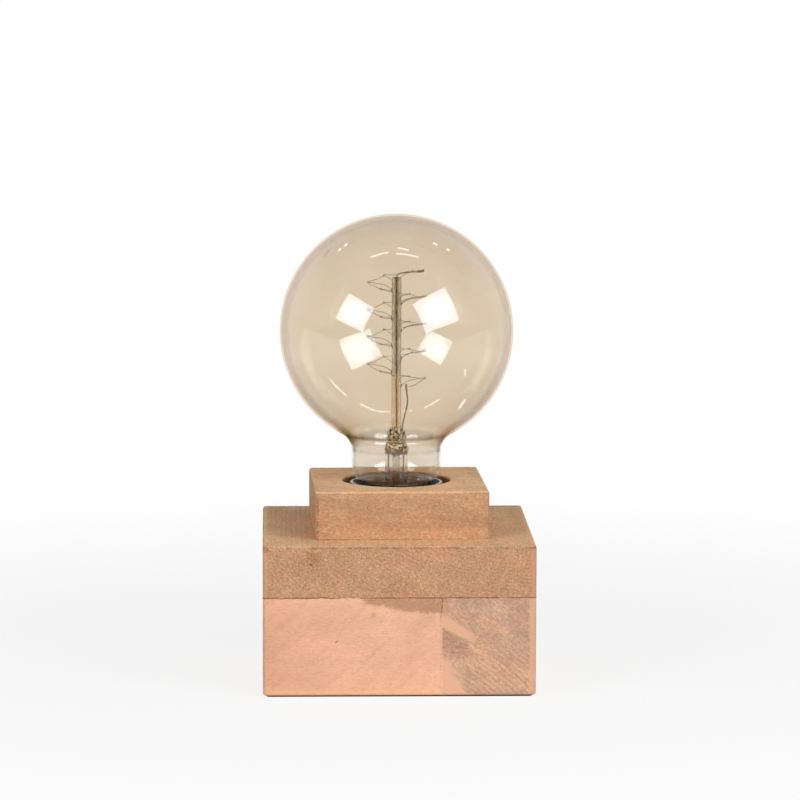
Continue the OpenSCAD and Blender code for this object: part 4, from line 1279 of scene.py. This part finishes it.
class LAMP_OT_base(bpy.types.Operator):
    """Finishes the wood of the base, its felt and the bush of its cord hole"""

    bl_idname = "lamp.base"
    bl_label = "Wooden base"

    def execute(self, context):
        tones = context.scene.lamp_wood
        set_finish(left_stave_wood(tones), "lower_block_left")
        set_finish(right_stave_wood(tones), "lower_block_right")
        set_finish(board_wood(tones), "middle_board")
        set_finish(collar_wood(tones), "collar_block")
        set_finish(felt(), "felt_base")
        set_finish(moulded("bush_black", (0.018, 0.017, 0.016), 0.42, 1.4), "cord_bush")
        return {"FINISHED"}


# ---- Stage ------------------------------------------------------------------------------------------

REACH = 0.9  # distance of the lights from the globe; their sizes are given for a distance of 1 m

SOFTBOXES = (
    # direction round and up from the globe, width, height and roll as the globe's highlights give them
    ("left", -45.4, 20.6, 0.56, 0.444, -17.0),
    ("right", 40.8, 22.9, 0.69, 0.555, 13.0),
)

MARKS = (
    # the room's small lights, as the softboxes; the globe's near wall shows some, its far wall the others
    ("strip_left", -80.0, 77.0, 0.240, 0.027, 84.4, "near"),
    ("strip_right", 60.3, 80.8, 0.294, 0.026, -65.5, "near"),
    ("strip_back", 116.1, 84.7, 0.138, 0.023, 48.3, "near"),
    ("spot_1", -132.5, 45.1, 0.030, 0.041, -76.6, "near"),
    ("spot_2", -137.3, 47.9, 0.052, 0.030, 4.4, "near"),
    ("spot_3", 130.9, 57.9, 0.047, 0.034, 20.2, "near"),
    ("spot_4", 125.1, 50.2, 0.035, 0.038, 61.2, "near"),
    ("tube_1", 101.1, 43.1, 0.291, 0.032, 78.6, "far"),
    ("tube_2", 116.0, 66.2, 0.204, 0.033, 49.9, "far"),
    ("tube_3", 137.9, 75.2, 0.165, 0.025, 54.4, "far"),
    ("tube_4", -152.4, 78.8, 0.194, 0.022, -34.2, "far"),
    ("tube_5", -112.3, 61.8, 0.237, 0.027, -63.2, "far"),
    ("tube_6", -98.2, 30.8, 0.114, 0.028, -38.2, "far"),
    ("tube_7", -139.3, 33.9, 0.132, 0.040, -3.2, "far"),
)


def facing(round_way, up_way, roll):
    """Place and turn of something that looks at the globe from that direction."""
    a, e = math.radians(round_way), math.radians(up_way)
    out = Vector((math.sin(a) * math.cos(e), -math.cos(a) * math.cos(e), math.sin(e)))
    side = Vector((0, 0, 1)).cross(out).normalized()
    turn = Matrix((side, out.cross(side), out)).transposed() @ Matrix.Rotation(math.radians(roll), 3, "Z")
    return Matrix.Translation(in_bulb(0, 0, GLOBE_Z) + out * REACH) @ turn.to_4x4()


class LAMP_OT_stage(bpy.types.Operator):
    """Sets up the floor, the two softboxes, the white room and the camera"""

    bl_idname = "lamp.stage"
    bl_label = "Stage"

    def execute(self, context):
        props = context.scene.lamp_studio
        self.floor()
        for name, round_way, up_way, width, height, roll in SOFTBOXES:
            self.softbox(props, name, facing(round_way, up_way, roll), width * REACH, height * REACH)
        for name, round_way, up_way, width, height, roll, wall in MARKS:
            place = facing(round_way, up_way, roll)
            self.card(name, place, width * REACH, height * REACH, props.mark_level, 1.0, wall)
        self.room(props)
        shot = bpy.data.cameras.new("camera")
        shot.lens, shot.sensor_width = props.lens, 36
        shot.clip_start, shot.clip_end = 0.05, 100
        camera = add_object("camera", shot)
        turn = Euler(props.camera_turn).to_matrix().to_4x4()
        camera.matrix_world = Matrix.Translation(props.camera_place) @ turn
        context.scene.camera = camera
        context.scene.view_settings.view_transform = "Standard"
        return {"FINISHED"}

    def floor(self):
        """White floor that keeps a soft shadow near the lamp."""
        bm = bmesh.new()
        bmesh.ops.create_grid(bm, x_segments=1, y_segments=1, size=14)
        bmesh.ops.translate(bm, vec=(0, 0, -0.1 * MM), verts=bm.verts)
        mesh = mesh_of("floor", bm)
        f = Finish("floor_white")
        reach = f.length(f.place)
        share = f.both(f.path("Is Camera Ray"), f.step(reach, 0.12, 0.55, 0.84, 1.0))
        front = f.both(f.step(f.y, -1.2, -0.25, 0.35, 1.0), f.step(reach, 0.1, 0.5, 0.36, 1.0))
        lit = f.out("ShaderNodeBsdfDiffuse", {"Color": (0.86, 0.86, 0.86, 1)})
        seen = f.mix_shader(share, lit, f.glow((1, 1, 1), 1.0))
        mesh.materials.append(f.done(f.mix_shader(f.mirrored(), seen, f.glow((1, 1, 1), front))))
        add_object("floor", mesh)

    def softbox(self, props, name, place, width, height):
        """A lamp for the light itself and a card that only gloss and glass show."""
        lamp = bpy.data.lights.new(f"softbox_{name}", "AREA")
        lamp.shape, lamp.size, lamp.size_y = "RECTANGLE", width, height
        lamp.energy = props.light_level * math.pi * lamp.size * lamp.size_y
        holder = add_object(f"softbox_{name}", lamp)
        holder.matrix_world = place
        holder.visible_glossy = holder.visible_transmission = holder.visible_camera = False
        self.card(f"card_{name}", place, width, height, props.card_level, 0.56, "both")

    def card(self, name, place, width, height, level, edge, wall):
        """A bright card for gloss and glass alone, which falls off to a share of its level at its edge.

        The card shines brighter and bluer to rays that reach it by way of the globe's far wall, which
        brightens the reflections seen there.
        """
        spill = 1.06
        bm = bmesh.new()
        bmesh.ops.create_grid(bm, x_segments=1, y_segments=1, size=0.5)
        bmesh.ops.scale(bm, vec=(width * spill, height * spill, 1), verts=bm.verts)
        bmesh.ops.transform(bm, matrix=place, verts=bm.verts)
        mesh = mesh_of(name, bm)
        f = Finish(name)
        flat = f.out("ShaderNodeVectorMath", {0: f.place, 1: place.to_translation()}, operation="SUBTRACT")
        sides = [place.to_3x3().col[n] / size for n, size in ((0, width / 2), (1, height / 2))]
        parts = [
            f.calc("ABSOLUTE", f.out(
                "ShaderNodeVectorMath", {0: flat, 1: side}, at="Value", operation="DOT_PRODUCT"))
            for side in sides]
        rim = f.step(f.calc("MAXIMUM", *parts), 1.05, 0.96)
        middle = f.calc("SQRT", f.plus(*(f.both(part, part) for part in parts)))
        hot = f.step(middle, 0.35, 1.0, level, level * edge)
        near_tone = (0, 0, 0) if wall == "far" else (0.72, 0.85, 1)
        far_tone = (0, 0, 0) if wall == "near" else (0.94, 1.45, 2.1)
        colour = f.blend(f.step(f.path("Ray Depth"), 3.4, 3.6), near_tone, far_tone)
        glow = f.glow(colour, f.both(rim, hot))
        mesh.materials.append(f.done(f.mix_shader(rim, f.clear((1, 1, 1)), glow)))
        card = add_object(name, mesh)
        card.visible_camera = card.visible_diffuse = card.visible_shadow = False

    def room(self, props):
        """White surroundings for the camera and the glass, plain ambient light for the rest."""
        world = bpy.data.worlds.new("room")
        bpy.context.scene.world = world
        world.use_nodes = True
        room = Nodes(world.node_tree)
        _, back, up = room.axes(room.out("ShaderNodeTexCoord", at="Generated"))
        behind = room.both(room.step(back, -0.1, 0.55, 0.22, 1.0), room.step(up, 0.3, 0.9, 1.0, 0.5))
        first = room.calc("LESS_THAN", room.path("Diffuse Depth"), 0.5)
        level = room.mix(room.both(room.mirrored(), first), props.ambient, behind)
        level = room.mix(room.path("Is Camera Ray"), level, 1.0)
        shown = room.out("ShaderNodeBackground", {"Color": (1, 1, 1, 1), "Strength": level})
        room.node("ShaderNodeOutputWorld", {"Surface": shown})


OPERATORS = (
    LAMP_OT_globe,
    LAMP_OT_mount,
    LAMP_OT_arbor,
    LAMP_OT_leads,
    LAMP_OT_filament,
    LAMP_OT_bulb_cap,
    LAMP_OT_holder,
    LAMP_OT_base,
    LAMP_OT_stage,
)


class LAMP_PT_panel(bpy.types.Panel):
    """Lists the lamp's sizes, colours and pieces"""

    bl_idname = "LAMP_PT_panel"
    bl_label = "Bare Bulb Table Lamp"
    bl_space_type = "VIEW_3D"
    bl_region_type = "UI"
    bl_category = "Lamp"

    def draw(self, context):
        for key, group in GROUPS.items():
            box = self.layout.box()
            box.label(text=group.__doc__.strip().rstrip("."))
            for name in group.__annotations__:
                box.prop(getattr(context.scene, key), name)
        column = self.layout.column(align=True)
        for operator in OPERATORS:
            column.operator(operator.bl_idname)


def register():
    """Registers the groups, the operators and the panel."""
    for made in (*GROUPS.values(), *OPERATORS, LAMP_PT_panel):
        bpy.utils.register_class(made)
    for key, group in GROUPS.items():
        setattr(bpy.types.Scene, key, PointerProperty(type=group))


def unregister():
    """Takes everything out again."""
    for key in GROUPS:
        delattr(bpy.types.Scene, key)
    for made in (LAMP_PT_panel, *reversed(OPERATORS), *reversed(GROUPS.values())):
        bpy.utils.unregister_class(made)


def main():
    """Builds the whole lamp and its stage."""
    register()
    for operator in OPERATORS:
        group, name = operator.bl_idname.split(".")
        getattr(getattr(bpy.ops, group), name)()


if __name__ == "__main__":
    main()
